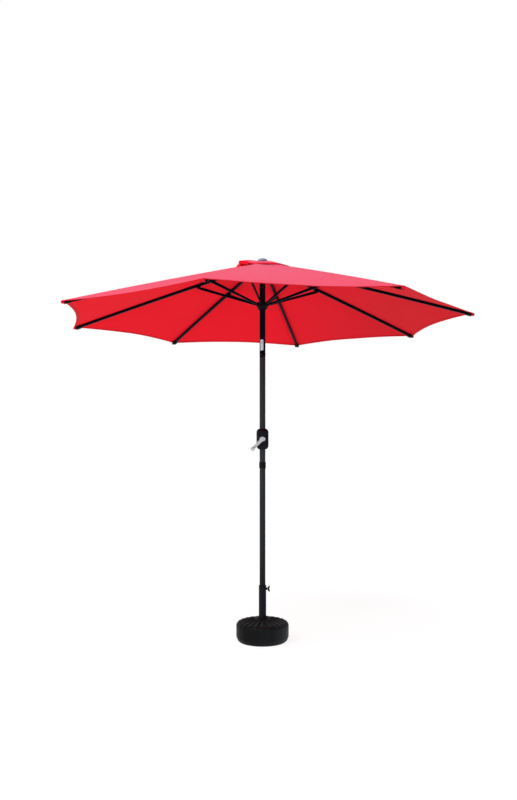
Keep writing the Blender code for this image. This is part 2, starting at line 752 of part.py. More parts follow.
# Struts: a hollow bar with a forked, pinned end at the rib and a pinned end at the runner.
# Made once, at the pivot on the rib.
foot = Vector((PIVOT_R - STRUT_R, 0, RUNNER_Z - STRUT_Z))
way = foot.normalized()
half_w = Vector((0, STRUT_W / 2, 0))
head_round = rod(-half_w, half_w, STRUT_H / 2)
foot_round = rod(foot - half_w, foot + half_w, STRUT_H / 2)
strut = cutter(from_bmesh("strut_model", [hull(head_round, foot_round)]))
foot_pin_half = Vector((0, 0.0065, 0))
foot_pin = rod(foot - foot_pin_half, foot + foot_pin_half, 0.0020, 8)
strut_foot_pin = cutter(from_bmesh("strut_foot_pin", [foot_pin]))
inside = bar(0.008 * way, foot - 0.012 * way, STRUT_H - 0.0024, STRUT_W - 0.0024)
strut_slots = [
    cutter(from_bmesh("strut_slot", [bar(-0.010 * way, 0.0095 * way, 0.030, 0.0038)])),
    cutter(from_bmesh("strut_hollow", [inside])),
]
strut_pin = cutter(from_bmesh("strut_pin", [rod((0, -0.0053, 0), (0, 0.0053, 0), 0.0020, 8)]))
boolean(strut, strut_foot_pin, "UNION")
for piece in strut_slots:
    boolean(strut, piece)
boolean(strut, strut_pin, "UNION")
strut_mesh = baked(strut, [strut_foot_pin, *strut_slots, strut_pin])

for number in range(1, RIBS + 1):
    azimuth = rib_azimuth(number)
    spin = turn_z(azimuth)
    rib_axis = pivot(f"rib_axis_{number}", spin @ Vector((PIVOT_R, 0, HUB_Z)), tilt_axis, azimuth)
    strut_axis = pivot(f"strut_axis_{number}", spin @ Vector((STRUT_R, 0, STRUT_Z)), rib_axis, azimuth)
    for name, mesh, mat, axis in (
        ("rib", rib_mesh, BLACK_STEEL, rib_axis),
        ("rib_tip", tip_mesh, BLACK_PLASTIC, rib_axis),
        ("strut", strut_mesh, BLACK_STEEL, strut_axis),
    ):
        copy = bpy.data.objects.new(f"{name}_{number}", mesh)
        copy.location = axis.location
        copy.rotation_euler = axis.rotation_euler
        part(copy, mat, axis)
    if number == 1:
        runner_at = spin @ Vector((PIVOT_R, 0, RUNNER_Z))
        runner_axis = pivot("runner_axis", runner_at, strut_axis, azimuth)

# Runner: a ring that slides on the pole, slotted for the struts.
runner_profile = [
    (0.0365, 2.190),
    (0.0385, 2.187),
    (0.0385, 2.163),
    (0.0315, 2.156),
    (0.0275, 2.144),
    (0.0262, 2.142),
    (0.0215, 2.142),
    (0.0215, 2.190),
]
runner = turned("runner", runner_profile, 24, closed=True)
runner_slots = cutter(
    from_bmesh("runner_slots", [box((0.0262, -0.0049, 2.1683), (0.050, 0.0049, 2.200), t) for t in rib_turns])
)
runner_pins = cutter(
    from_bmesh(
        "runner_pin_holes",
        [rod((PIVOT_R, -0.0069, RUNNER_Z), (PIVOT_R, 0.0069, RUNNER_Z), 0.0024, 8, t) for t in rib_turns],
    )
)
CORD_R = 0.0241
knot_rod = rod((CORD_R, 0, 2.178), (CORD_R, 0, 2.200), 0.0016, 8, toward_cord)
knot_hole = cutter(from_bmesh("knot_hole", [knot_rod]))
for hole in (runner_slots, runner_pins, knot_hole):
    boolean(runner, hole)
part(runner, BLACK_PLASTIC, runner_axis)

# Lift cord: off the spool, up inside the pole past the tilt pin, over the pulley, down to the runner.
wrap = CORD_R - PULLEY_R
route = [
    Vector((0.0097, 0, 1.300)),
    Vector((0.0097, 0, 1.325)),
    Vector((0, 0.0075, 1.790)),
    Vector((0, 0.0075, 1.915)),
]
for step in range(7):
    angle = math.pi * (1 - step / 6)
    spot = Vector((PULLEY_R + wrap * math.cos(angle), 0, PULLEY_Z + wrap * math.sin(angle)))
    route.append(toward_cord @ spot)
route.append(toward_cord @ Vector((CORD_R, 0, 2.179)))
line = bpy.data.curves.new("lift_cord", "CURVE")
line.dimensions = "3D"
line.bevel_depth = 0.00125
line.bevel_resolution = 2
line.use_fill_caps = True
spline = line.splines.new("POLY")
spline.points.add(len(route) - 1)
for point, spot in zip(spline.points, route):
    point.co = (*spot, 1)
part(bpy.data.objects.new("lift_cord", line), BLACK_CORD, tilt_axis)
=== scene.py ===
"""Looks for the patio umbrella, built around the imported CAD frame.

Metres, +Z up, the crank towards -Y. Every piece rides on a CAD body by name.
"""

import math

import bmesh
import bpy
from mathutils import Matrix, Vector, noise


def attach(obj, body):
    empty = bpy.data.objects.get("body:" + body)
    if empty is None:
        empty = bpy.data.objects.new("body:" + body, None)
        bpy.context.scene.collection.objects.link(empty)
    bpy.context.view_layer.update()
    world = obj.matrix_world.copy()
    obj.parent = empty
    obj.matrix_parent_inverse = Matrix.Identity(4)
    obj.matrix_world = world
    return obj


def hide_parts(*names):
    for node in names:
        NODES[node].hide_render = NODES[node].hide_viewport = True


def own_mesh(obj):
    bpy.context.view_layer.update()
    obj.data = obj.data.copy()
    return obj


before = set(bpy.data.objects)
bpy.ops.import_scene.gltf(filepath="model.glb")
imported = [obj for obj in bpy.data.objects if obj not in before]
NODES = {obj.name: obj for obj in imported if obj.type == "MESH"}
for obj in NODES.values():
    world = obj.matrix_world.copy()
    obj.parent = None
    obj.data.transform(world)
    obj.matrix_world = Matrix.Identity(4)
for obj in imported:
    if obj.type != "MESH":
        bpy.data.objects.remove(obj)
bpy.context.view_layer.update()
SCENE = bpy.context.scene
SCENE.view_settings.view_transform = "Standard"

# Camera ----------------------------------------
CAM_AT = (0.0, -4.955, 1.295)
camera = bpy.data.objects.new("camera", bpy.data.cameras.new("camera"))
camera.location = CAM_AT
camera.rotation_euler = (math.radians(90), 0, 0)
camera.data.sensor_width = 36
camera.data.lens = 34.42
camera.data.shift_x = -0.005
camera.data.shift_y = 0.0509
SCENE.collection.objects.link(camera)
SCENE.camera = camera

# Sizes that the CAD model has ------------------
RIBS = 8
RIB_NUMBERS = range(1, RIBS + 1)
FIRST_RIB = 257.52  # degrees from +X, seen from above
CANOPY_R = 1.32
CANOPY_HOLE_R = 0.085
SCALLOP = 0.0345
VENT_R = 0.175
PIVOT_R, RUNNER_Z = 0.032, 2.174
STRUT_R, STRUT_Z = 0.434, 2.302
POLE_R, POLE_IN = 0.019, 0.0175
JOINT_Z, CRANK_Z, TILT_Z = 1.137, 1.306, 1.856
CLAMP_Z = 0.337
FILL = (0.0875, 0.035)  # where the fill hole is
FRONT = math.radians(262)  # the way that the tilt button faces
CORD_AZIMUTH = math.radians(FIRST_RIB + 22.5)
PULLEY_R, PULLEY_Z = 0.0140, 2.4205
CORD_R = 0.0241  # distance of the cord from the pole's axis where it runs down to the runner
SHAFT_HOLE_R = 0.0058
COS45, SIN45 = math.cos(math.pi / 4), math.sin(math.pi / 4)

# Looks of the cloth ----------------------------
VENT_SLOPE = 0.235
VENT_SLOPES = (0.290, 0.270, 0.235, 0.235, 0.235, 0.220, 0.165, 0.120)  # over each rib
HANGING = {1: (0.010, 0.016), 8: (0.008, 0.014)}  # scallop and drop of the two front panels' hems
FLAT_TOP = 0.0065  # half the width of a rib, over which the cloth lies flat


def canopy_height(r, turn=1.0):
    """The canopy's upper surface, the same all round. It takes turn only to stand in for vent_height."""
    return 2.449 - 0.268 * r - 0.0125 * r * r


def vent_height(r, turn=1.0):
    """The vent canopy's upper surface. turn counts the ribs, with 1.5 halfway from rib 1 to rib 2."""
    index, share = divmod(turn - 1, 1)
    near, on = VENT_SLOPES[int(index) % RIBS], VENT_SLOPES[int(index + 1) % RIBS]
    slope = near + (on - near) * smooth_step(0, 1, share)
    puff = 0.006 * math.sin(math.pi * clamp01((r - 0.03) / (VENT_R - 0.03)))
    return 2.4590 - VENT_SLOPE * r - (slope - VENT_SLOPE) * max(0.0, r - 0.02) * 1.13 + puff


def rib_azimuth(number):
    return math.radians(FIRST_RIB + (number - 1) * 360 / RIBS)


def clamp01(x):
    return max(0.0, min(1.0, x))


def smooth_step(low, high, x):
    t = clamp01((x - low) / (high - low))
    return t * t * (3 - 2 * t)


# Materials -------------------------------------
class Nodes:
    """Short forms for building a material's node tree."""

    def __init__(self, name):
        self.material = bpy.data.materials.new(name)
        self.material.use_nodes = True
        self.tree = self.material.node_tree
        self.shader = self.tree.nodes["Principled BSDF"]
        self.coords = self.tree.nodes.new("ShaderNodeTexCoord").outputs["Object"]

    def add(self, kind, **settings):
        node = self.tree.nodes.new(kind)
        for key, value in settings.items():
            setattr(node, key, value)
        return node

    def join(self, source, target):
        self.tree.links.new(source, target)

    def noise(self, scale, detail=3.0, rough=0.5, stretch=None):
        vector = self.coords
        if stretch:
            mapping = self.add("ShaderNodeMapping")
            mapping.inputs["Scale"].default_value = stretch
            self.join(vector, mapping.inputs["Vector"])
            vector = mapping.outputs["Vector"]
        node = self.add("ShaderNodeTexNoise")
        node.inputs["Scale"].default_value = scale
        node.inputs["Detail"].default_value = detail
        node.inputs["Roughness"].default_value = rough
        self.join(vector, node.inputs["Vector"])
        return node.outputs["Fac"]

    def math(self, operation, a, b=None):
        node = self.add("ShaderNodeMath", operation=operation)
        for slot, value in enumerate((a, b)):
            if value is None:
                continue
            if isinstance(value, (int, float)):
                node.inputs[slot].default_value = value
            else:
                self.join(value, node.inputs[slot])
        return node.outputs[0]

    def remap(self, value, low, high, to_low=0.0, to_high=1.0):
        node = self.add("ShaderNodeMapRange")
        self.join(value, node.inputs["Value"])
        for key, number in zip(("From Min", "From Max", "To Min", "To Max"), (low, high, to_low, to_high)):
            node.inputs[key].default_value = number
        return node.outputs["Result"]

    def mix(self, share, first, second):
        node = self.add("ShaderNodeMix", data_type="RGBA")
        if isinstance(share, (int, float)):
            node.inputs[0].default_value = share
        else:
            self.join(share, node.inputs[0])
        for slot, value in ((6, first), (7, second)):
            if isinstance(value, tuple):
                node.inputs[slot].default_value = (*value, 1)
            else:
                self.join(value, node.inputs[slot])
        return node.outputs[2]

    def coordinate(self, axis):
        """The X, Y or Z of a point in the object's own axes."""
        split = self.add("ShaderNodeSeparateXYZ")
        self.join(self.coords, split.inputs[0])
        return split.outputs[axis]

    def attribute(self, name):
        return self.add("ShaderNodeAttribute", attribute_name=name).outputs["Fac"]

    def bump(self, height, strength, distance):
        node = self.add("ShaderNodeBump")
        node.inputs["Strength"].default_value = strength
        node.inputs["Distance"].default_value = distance
        self.join(height, node.inputs["Height"])
        self.join(node.outputs["Normal"], self.shader.inputs["Normal"])

    def set(self, **values):
        for key, value in values.items():
            socket = self.shader.inputs[key.replace("_", " ")]
            if isinstance(value, (int, float, tuple)):
                socket.default_value = value
            else:
                self.join(value, socket)


def moulded(name, colour, light, rough=0.5, grain=900.0, bump=0.25, specular=0.5, painted_side_shading=False):
    """Moulded plastic: fine grain, faint flow marks, edges rubbed lighter. On request it paints shade on its
    -X side and light on its +X side.
    """
    n = Nodes(name)
    flow = n.remap(n.noise(9.0, 4.0), 0.3, 0.7)
    worn = n.remap(n.add("ShaderNodeNewGeometry").outputs["Pointiness"], 0.52, 0.60)
    patchy = n.math("MULTIPLY", worn, n.remap(n.noise(60.0), 0.35, 0.6))
    body = n.mix(n.math("MULTIPLY", flow, 0.45), colour, light)
    # Painted shade darkens the -X side, and painted light brightens the +X side.
    if painted_side_shading:
        body = n.mix(n.remap(n.coordinate("X"), 0.02, -0.12), body, tuple(c * 0.12 for c in colour))
        body = n.mix(n.remap(n.coordinate("X"), 0.06, 0.17), body, tuple(c * 2.6 for c in light))
    n.set(Base_Color=n.mix(n.math("MULTIPLY", patchy, 0.5), body, tuple(min(1, c * 2.2) for c in light)))
    n.set(Roughness=n.remap(n.noise(35.0), 0.3, 0.7, rough - 0.06, rough + 0.08))
    n.set(Specular_IOR_Level=specular)
    n.bump(n.noise(grain, 2.0), bump, 0.0004)
    return n.material


def painted(name, colour, light, rough=0.38, specular=0.5, fade=1.0):
    """Powder-coated steel: orange peel, drawn faintly along the tube, scuffs. fade darkens its foot."""
    n = Nodes(name)
    tone = n.remap(n.noise(70.0, 3.0, stretch=(1, 1, 0.05)), 0.35, 0.65)
    scuff = n.remap(n.noise(160.0, 5.0, 0.65), 0.62, 0.72)
    body = n.mix(n.math("MULTIPLY", tone, 0.6), colour, light)
    body = n.mix(n.math("MULTIPLY", scuff, 0.25), body, tuple(min(1, c * 2.5) for c in light))
    if fade < 1:
        body = n.mix(n.remap(n.coordinate("Z"), 1.05, 0.40), body, tuple(c * fade for c in colour))
    n.set(Base_Color=body)
    n.set(Roughness=n.remap(n.noise(22.0), 0.3, 0.7, rough - 0.05, rough + 0.08), Metallic=0.0)
    n.set(Specular_IOR_Level=specular)
    n.bump(n.noise(650.0, 2.0), 0.18, 0.0004)
    return n.material


def brushed(name, colour, rough=0.34, stretch=(1, 1, 30), metallic=0.85):
    """Metal with a fine grain. stretch squeezes the grain along each axis."""
    n = Nodes(name)
    grain = n.noise(320.0, 3.0, stretch=stretch)
    dark = tuple(c * 0.72 for c in colour)
    n.set(Base_Color=n.mix(n.remap(grain, 0.3, 0.7), dark, colour), Metallic=metallic)
    n.set(Roughness=n.remap(n.noise(40.0), 0.3, 0.7, rough - 0.06, rough + 0.1))
    n.bump(grain, 0.06, 0.0002)
    return n.material


def fabric(name, colour, fade, sheen, sheen_tint, rough=0.85, specular=0.25, painted_shade=0.0):
    """Woven polyester with stitches by its hem. It can paint shade that darkens it towards +X.

    Each cloth mesh stores across and along in metres, and edge, the distance to its hem.
    """
    n = Nodes(name)
    across, along, edge = (n.attribute(key) for key in ("across", "along", "edge"))
    warp = n.math("SINE", n.math("MULTIPLY", across, 2 * math.pi / 0.0016))
    weft = n.math("SINE", n.math("MULTIPLY", along, 2 * math.pi / 0.0016))
    weave = n.math("MULTIPLY", warp, weft)
    slub = n.noise(340.0, 3.0, stretch=(1, 1, 4))
    cloud = n.remap(n.noise(2.6, 4.0, 0.55), 0.32, 0.68)
    body = n.mix(n.math("MULTIPLY", cloud, 0.35), colour, fade)
    body = n.mix(n.math("MULTIPLY", n.remap(slub, 0.35, 0.65), 0.10), body, tuple(c * 0.6 for c in colour))
    # Two rows of stitches: a dash every 5 mm, 13 mm and 16 mm in from the hem.
    from_middle = n.math("ABSOLUTE", n.math("SUBTRACT", edge, 0.0145))
    from_row = n.math("ABSOLUTE", n.math("SUBTRACT", from_middle, 0.0018))
    on_row = n.math("LESS_THAN", from_row, 0.0005)
    dash = n.math("LESS_THAN", n.math("FRACT", n.math("MULTIPLY", across, 200.0)), 0.72)
    stitch = n.math("MULTIPLY", on_row, dash)
    # Painted shade: the cloth is darkened towards +X.
    if painted_shade:
        body = n.mix(n.remap(n.coordinate("X"), 0.05, 0.85, 0.0, painted_shade), body, (0.40, 0.014, 0.021))
    n.set(Base_Color=n.mix(n.math("MULTIPLY", stitch, 0.6), body, tuple(c * 0.45 for c in colour)))
    n.set(Roughness=n.remap(slub, 0.3, 0.7, rough - 0.05, rough + 0.05))
    n.set(Sheen_Weight=sheen, Sheen_Roughness=0.35, Sheen_Tint=(*sheen_tint, 1))
    n.set(Specular_IOR_Level=specular)
    n.bump(n.math("ADD", weave, n.math("MULTIPLY", stitch, -2.0)), 0.22, 0.0005)
    return n.material


PINK, ROSE, WHITE = (1.0, 0.46, 0.66), (1.0, 0.4, 0.45), (1, 1, 1)  # tints of the cloth's sheen
# One cloth in two copies: the top faces are painted lighter and pinker as painted light, and the underside
# darker as painted shade.
RED_TOP_PAINTED_LIGHT = fabric("fabric top", (0.90, 0.020, 0.068), (0.94, 0.028, 0.088), 0.55, PINK)
# The underside also gets painted shade that darkens it towards +X.
RED_UNDER_PAINTED_SHADE = fabric(
    "fabric underside", (0.77, 0.0060, 0.0175), (0.84, 0.0082, 0.0230), 0.0, WHITE, 0.9, 0.06, painted_shade=0.45
)
RED_HEM = fabric("fabric hem", (0.56, 0.008, 0.018), (0.64, 0.011, 0.024), 0.05, (1.0, 0.4, 0.4), 0.9, 0.08)
RED_VENT_HEM = fabric("vent hem", (0.80, 0.008, 0.022), (0.86, 0.012, 0.030), 0.15, ROSE, 0.9, 0.08)
RED_POCKET = fabric("fabric pocket", (0.62, 0.007, 0.020), (0.70, 0.010, 0.028), 0.10, ROSE, 0.9, 0.08)
CORD = fabric("cord braid", (0.008, 0.008, 0.011), (0.016, 0.016, 0.020), 0.1, WHITE)
BLACK_PLASTIC = moulded(
    "black plastic", (0.0030, 0.0032, 0.0040), (0.0052, 0.0056, 0.0068), 0.55, specular=0.06
)
# The base gets painted shade on its -X side and painted light on its +X side.
BASE_PLASTIC = moulded(
    "base plastic", (0.0036, 0.0046, 0.0056), (0.0072, 0.0090, 0.0108), 0.50, 700.0, 0.35, 0.10, painted_side_shading=True
)
HOUSING_PLASTIC = moulded(
    "housing plastic", (0.0036, 0.0040, 0.0080), (0.0090, 0.0098, 0.0190), 0.40, specular=0.10
)
GREY_BLUE = moulded("grey-blue plastic", (0.17, 0.20, 0.33), (0.24, 0.27, 0.42), 0.42)
WATER = moulded("water", (0.30, 0.36, 0.38), (0.36, 0.42, 0.44), 0.12)
NAVY_STEEL = painted("frame steel", (0.0018, 0.0024, 0.0070), (0.0034, 0.0042, 0.0120), 0.45, 0.03)
SLEEVE_STEEL = painted("sleeve steel", (0.0040, 0.0048, 0.0068), (0.0070, 0.0084, 0.0140), 0.40, 0.10)
POLE_STEEL = painted("pole steel", (0.0190, 0.0240, 0.0280), (0.0270, 0.0335, 0.0385), 0.36, 0.12, fade=0.30)
SILVER = brushed("silver metal", (0.62, 0.64, 0.67))
PLATE_SILVER = brushed("tilt plate silver", (0.60, 0.95, 1.0), 0.50, metallic=0.0)
SILVER_ARM = brushed("crank silver", (0.58, 0.65, 0.68), 0.36, (8, 30, 1), 0.15)
RIVET = brushed("rivet steel", (0.05, 0.05, 0.07), 0.4, metallic=0.7)


# Mesh helpers ----------------------------------
def finished(name, bm, material=None, angle=35, place=None):
    """The mesh as an object, moved by place, facing outward, smooth up to angle degrees."""
    if place is not None:
        bmesh.ops.transform(bm, matrix=place, verts=bm.verts)
    bmesh.ops.recalc_face_normals(bm, faces=bm.faces)
    mesh = bpy.data.meshes.new(name)
    bm.to_mesh(mesh)
    bm.free()
    mesh.shade_smooth()
    mesh.set_sharp_from_angle(angle=math.radians(angle))
    obj = bpy.data.objects.new(name, mesh)
    SCENE.collection.objects.link(obj)
    if material:
        mesh.materials.append(material)
    return obj


def fillet(points, radius, closed=False, steps=4):
    """A polyline with its corners rounded, each by at most radius."""
    made, count = [], len(points)
    for index, point in enumerate(points):
        p = Vector(point)
        if not closed and index in (0, count - 1) or radius == 0:
            made.append(p)
            continue
        back, on = Vector(points[index - 1]) - p, Vector(points[(index + 1) % count]) - p
        cut = min(radius, 0.45 * back.length, 0.45 * on.length)
        a, b = p + back.normalized() * cut, p + on.normalized() * cut
        if abs(back.angle(on) - math.pi) < 0.05:
            made.append(p)
            continue
        for step in range(steps + 1):
            t = step / steps
            made.append(a * (1 - t) ** 2 + p * 2 * t * (1 - t) + b * t * t)
    return made


def lathe(
    name,
    profile,
    material=None,
    at=(0, 0, 0),
    rotation=(0, 0, 0),
    round_by=0.0008,
    segments=64,
    closed=True,
    wave=None,
):
    """A turned piece from (radius, height) points. wave(angle, r, z) may move a point's radius and height."""
    points = fillet(profile, round_by, closed)
    bm = bmesh.new()
    rings = []
    for r, z in points:
        if r < 1e-6:
            rings.append([bm.verts.new((0, 0, z))] * segments)
            continue
        ring = []
        for s in range(segments):
            angle = 2 * math.pi * s / segments
            rr, zz = wave(angle, r, z) if wave else (r, z)
            ring.append(bm.verts.new((rr * math.cos(angle), rr * math.sin(angle), zz)))
        rings.append(ring)
    pairs = list(zip(rings, rings[1:])) + ([(rings[-1], rings[0])] if closed else [])
    for a, b in pairs:
        for s in range(segments):
            n = (s + 1) % segments
            corners = list(dict.fromkeys((a[s], a[n], b[n], b[s])))
            if len(corners) > 2:
                bm.faces.new(corners)
    turn = Matrix()
    for angle, axis in zip(rotation, "XYZ"):
        turn = Matrix.Rotation(angle, 4, axis) @ turn
    return finished(name, bm, material, place=Matrix.Translation(at) @ turn)


def box(name, low, high, place=None, material=None):
    low, high = Vector(low), Vector(high)
    fit = Matrix.Translation((low + high) / 2) @ Matrix.Diagonal((*(high - low), 1))
    bm = bmesh.new()
    bmesh.ops.create_cube(bm, size=1, matrix=(place or Matrix()) @ fit)
    return finished(name, bm, material)


def cylinder(name, start, end, radius, segments=32, radius_end=None, material=None, flatten=1.0):
    """A rod from start to end. flatten scales its Z."""
    start, end = Vector(start), Vector(end)
    bm = bmesh.new()
    fit = Matrix.Translation((start + end) / 2) @ (end - start).to_track_quat("Z", "Y").to_matrix().to_4x4()
    bmesh.ops.create_cone(
        bm,
        cap_ends=True,
        segments=segments,
        radius1=radius,
        radius2=radius if radius_end is None else radius_end,
        depth=(end - start).length,
        matrix=fit,
    )
    bmesh.ops.scale(bm, vec=(1, 1, flatten), verts=bm.verts)
    return finished(name, bm, material)


def apply_modifiers(obj):
    """Turns the modifiers' result into the mesh."""
    bpy.context.view_layer.update()
    graph = bpy.context.evaluated_depsgraph_get()
    mesh = bpy.data.meshes.new_from_object(obj.evaluated_get(graph), depsgraph=graph)
    obj.modifiers.clear()
    old, obj.data = obj.data, mesh
    bpy.data.meshes.remove(old)
    return obj


def combine(obj, tools, operation="DIFFERENCE"):
    """Boolean with each tool, which then goes."""
    for tool in tools:
        step = obj.modifiers.new("Cut", "BOOLEAN")
        step.operation, step.object, step.solver = operation, tool, "EXACT"
    apply_modifiers(obj)
    for tool in tools:
        bpy.data.objects.remove(tool)
    obj.data.set_sharp_from_angle(angle=math.radians(35))
    return obj


def ends_of(start, end, radius, count=28):
    """Points round both ends of a rod, to make a hull from."""
    start, end = Vector(start), Vector(end)
    turn = (end - start).to_track_quat("Z", "Y").to_matrix()
    angles = [2 * math.pi * step / count for step in range(count)]
    ring = [turn @ Vector((radius * math.cos(a), radius * math.sin(a), 0)) for a in angles]
    return [spot + offset for spot in (start, end) for offset in ring]


def hull(name, points, material=None, place=None):
    """The convex hull of the points."""
    bm = bmesh.new()
    for point in points:
        bm.verts.new(point)
    bmesh.ops.convex_hull(bm, input=bm.verts)
    bmesh.ops.delete(bm, geom=[v for v in bm.verts if not v.link_faces], context="VERTS")
    bmesh.ops.dissolve_limit(bm, angle_limit=0.01, verts=bm.verts, edges=bm.edges)
    return finished(name, bm, material, place=place)


def bevelled(obj, width, segments=3, angle=35):
    """Rounds the edges that are sharper than angle degrees."""
    step = obj.modifiers.new("Edges", "BEVEL")
    step.width, step.segments, step.limit_method = width, segments, "ANGLE"
    step.angle_limit = math.radians(angle)
    apply_modifiers(obj)
    obj.data.shade_smooth()
    obj.data.set_sharp_from_angle(angle=math.radians(40))
    return obj


def place_on(obj, body, slot, *stands_for):
    """Rides the body, in place of the CAD nodes that it stands for. slot is not used."""
    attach(obj, body)
    if stands_for:
        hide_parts(*stands_for)
    return obj


# Canopy ----------------------------------------
# A cloth: radius of its hole, radius at the rib ends, height of its upper surface, and how far it sags.
MAIN = (CANOPY_HOLE_R, CANOPY_R, canopy_height, 0.007)
VENT = (0.007, VENT_R, vent_height, 0.0015)


def rib_axes(number):
    """Unit vectors outward along a rib and to its left."""
    azimuth = rib_azimuth(number)
    out = Vector((math.cos(azimuth), math.sin(azimuth), 0))
    return out, Vector((-math.sin(azimuth), math.cos(azimuth), 0))


def cloth_point(panel, t, share, spec):
    """A point of the cloth, how far it is from the nearest rib, and its radius.

    It lies between rib panel (t = 0) and the next one (t = 1), from the hole (share = 0) to the hem.
    """
    inner, outer, height, sag = spec
    r = inner + (outer - inner) * share
    belly = 4 * t * (1 - t)
    scallop, low_hem = SCALLOP, 0.0
    if spec is MAIN:
        scallop, low_hem = HANGING.get((panel - 1) % RIBS + 1, (SCALLOP, 0.0))
    r *= 1 - scallop * share**2 * belly
    number, near, side = (panel, t, 1) if t <= 0.5 else (panel + 1, 1 - t, -1)
    half = 0.5 * r * SIN45
    soft = min(0.5, FLAT_TOP / half)
    s = 2 * near
    lean = 0.5 * (math.hypot(s, soft) - soft + s * s * (1 + soft - math.hypot(1, soft)))
    out, left = rib_axes(number)
    from_rib = near * r * SIN45
    spot = out * r * (1 - lean * (1 - COS45)) + left * side * near * r * SIN45
    hang = 4 * lean * (1 - lean)
    drop = sag * (math.sin(math.pi * share**0.8) * 0.85 + 0.15) * hang
    # Folds that run in from the two lower corners, and a slow unevenness.
    size = outer / CANOPY_R
    corner = math.hypot(from_rib, outer - r) / size
    turn = math.atan2(from_rib, max(outer - r, 1e-4))
    free = smooth_step(0.010 * size, 0.060 * size, from_rib)
    folds = 0.0022 * math.exp(-corner / 0.30) * math.sin(11 * turn + panel * 1.7 + side * 0.6) * free
    spread = noise.noise(Vector((spot.x * 2.3 / size, spot.y * 2.3 / size, 3.1)))
    uneven = 0.0035 * spread * hang
    seam = 0.0008 * (1 - smooth_step(0.0042, 0.0062, from_rib))
    spot.z = height(r, panel + t) - drop + size * (folds + uneven) + seam - low_hem * share**4 * belly
    return spot, from_rib, r


def cloth_layers(bm):
    return [bm.verts.layers.float.new(key) for key in ("across", "along", "edge")]


def cloth_vert(bm, layers, spot, *stored):
    vert = bm.verts.new(spot)
    for layer, value in zip(layers, stored):
        vert[layer] = value
    return vert


def skin(bm, rings):
    """Faces between closed rings of points, and over the first and last ring."""
    count = len(rings[0])
    for a, b in zip(rings, rings[1:]):
        for s in range(count):
            n = (s + 1) % count
            bm.faces.new((a[s], a[n], b[n], b[s]))
    bm.faces.new(rings[0])
    bm.faces.new(rings[-1])


def sector(name, number, spec, columns, rows, thickness):
    """The cloth from halfway across one panel to halfway across the next, around rib number."""
    inner, outer, *_ = spec
    bm = bmesh.new()
    layers = cloth_layers(bm)
    grid = []
    steps = [0.0, 0.0042, 0.0062]  # the first columns follow the seam over the rib
    for column in range(-columns, columns + 1):
        line = []
        for row in range(rows + 1):
            share = 1 - (1 - row / rows) ** 1.25
            r = inner + (outer - inner) * share
            half = 0.5 * r * SIN45
            index = abs(column)
            if index < len(steps):
                near = steps[index]
            else:
                q = (index - 2) / (columns - 2)
                near = steps[2] + (half - steps[2]) * q**1.25
            t = 0.5 * min(1.0, near / half) if index < columns else 0.5
            panel, t = (number, t) if column >= 0 else (number - 1, 1 - t)
            spot, from_rib, radius = cloth_point(panel, t, share, spec)
            side = 1 if column >= 0 else -1
            line.append(cloth_vert(bm, layers, spot, side * from_rib, radius, outer - r))
        grid.append(line)
    for a, b in zip(grid, grid[1:]):
        for row in range(rows):
            bm.faces.new((a[row], a[row + 1], b[row + 1], b[row]))
    bm.normal_update()
    if sum(face.normal.z for face in bm.faces) < 0:
        bmesh.ops.reverse_faces(bm, faces=bm.faces)
    mesh = bpy.data.meshes.new(name)
    bm.to_mesh(mesh)
    bm.free()
    mesh.shade_smooth()
    # The top faces get the painted-light copy of the cloth, and the inner faces get the painted-shade copy.
    for look in (RED_TOP_PAINTED_LIGHT, RED_UNDER_PAINTED_SHADE):
        mesh.materials.append(look)
    obj = bpy.data.objects.new(name, mesh)
    SCENE.collection.objects.link(obj)
    thick = obj.modifiers.new("Cloth", "SOLIDIFY")
    thick.thickness, thick.offset = thickness, -1
    thick.material_offset, thick.material_offset_rim = 1, 1
    apply_modifiers(obj)
    obj.data.set_sharp_from_angle(angle=math.radians(50))
    return obj


def rim_strip(name, number, spec, columns, profile, material):
    """A closed section of (inward, up) points swept along the hem of one sector."""
    bm = bmesh.new()
    layers = cloth_layers(bm)
    rings = []
    outer = spec[1]
    half = 0.5 * outer * SIN45
    for column in range(-columns, columns + 1):
        near = half * (abs(column) / columns) ** 1.15
        t = 0.5 * near / half
        panel, t = (number, t) if column >= 0 else (number - 1, 1 - t)
        rim, from_rib, _ = cloth_point(panel, t, 1.0, spec)
        inside, _, _ = cloth_point(panel, t, 0.97, spec)
        inward = (inside - rim).normalized()
        before, after = (cloth_point(panel, clamp01(t + step), 1.0, spec)[0] for step in (-0.01, 0.01))
        up = inward.cross(after - before).normalized()
        up = up if up.z > 0 else -up
        ring = []
        for a, b in profile:
            ring.append(cloth_vert(bm, layers, rim + inward * a + up * b, from_rib, outer, max(a, 0.0)))
        rings.append(ring)
    skin(bm, rings)
    return finished(name, bm, material, angle=60)


def local(number, along, side, up):
    """A point given from the pole along a rib, to its left, and above the canopy's upper surface."""
    out, left = rib_axes(number)
    spot = out * along + left * side
    spot.z = canopy_height(along) + up
    return spot


def strip(name, number, stations, material):
    """A tube of section points swept along a rib. Each station is (along, [(side, up), ...])."""
    bm = bmesh.new()
    layers = cloth_layers(bm)
    rings = []
    for along, section in stations:
        spots = [(side, local(number, along, side, up)) for side, up in section]
        rings.append([cloth_vert(bm, layers, spot, side, along, 0.05) for side, spot in spots])
    skin(bm, rings)
    return finished(name, bm, material, angle=50)


def with_rib(obj, number, *stands_for):
    """Cloth on one rib, with a mesh of its own."""
    place_on(obj, f"rib{number}", "red_fabric", *stands_for)
    local(number, 0.5, 0, 0)
    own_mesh(obj)
    return obj


HEM = [
    (0.0180, -0.0012), (0.0180, -0.0026), (0.0010, -0.0030), (-0.0016, -0.0022),
    (-0.0024, -0.0006), (-0.0014, 0.0008), (0.0040, 0.0010), (0.0070, -0.0002),
]


def vent_hem_section(drop):
    """The vent's hem, which hangs down by drop."""
    return [
        (0.0100, -0.0012), (0.0030, -0.0030), (0.0026, -drop), (-0.0008, -drop - 0.0002),
        (-0.0016, -0.0010), (-0.0008, 0.0007), (0.0030, 0.0008), (0.0060, -0.0002),
    ]


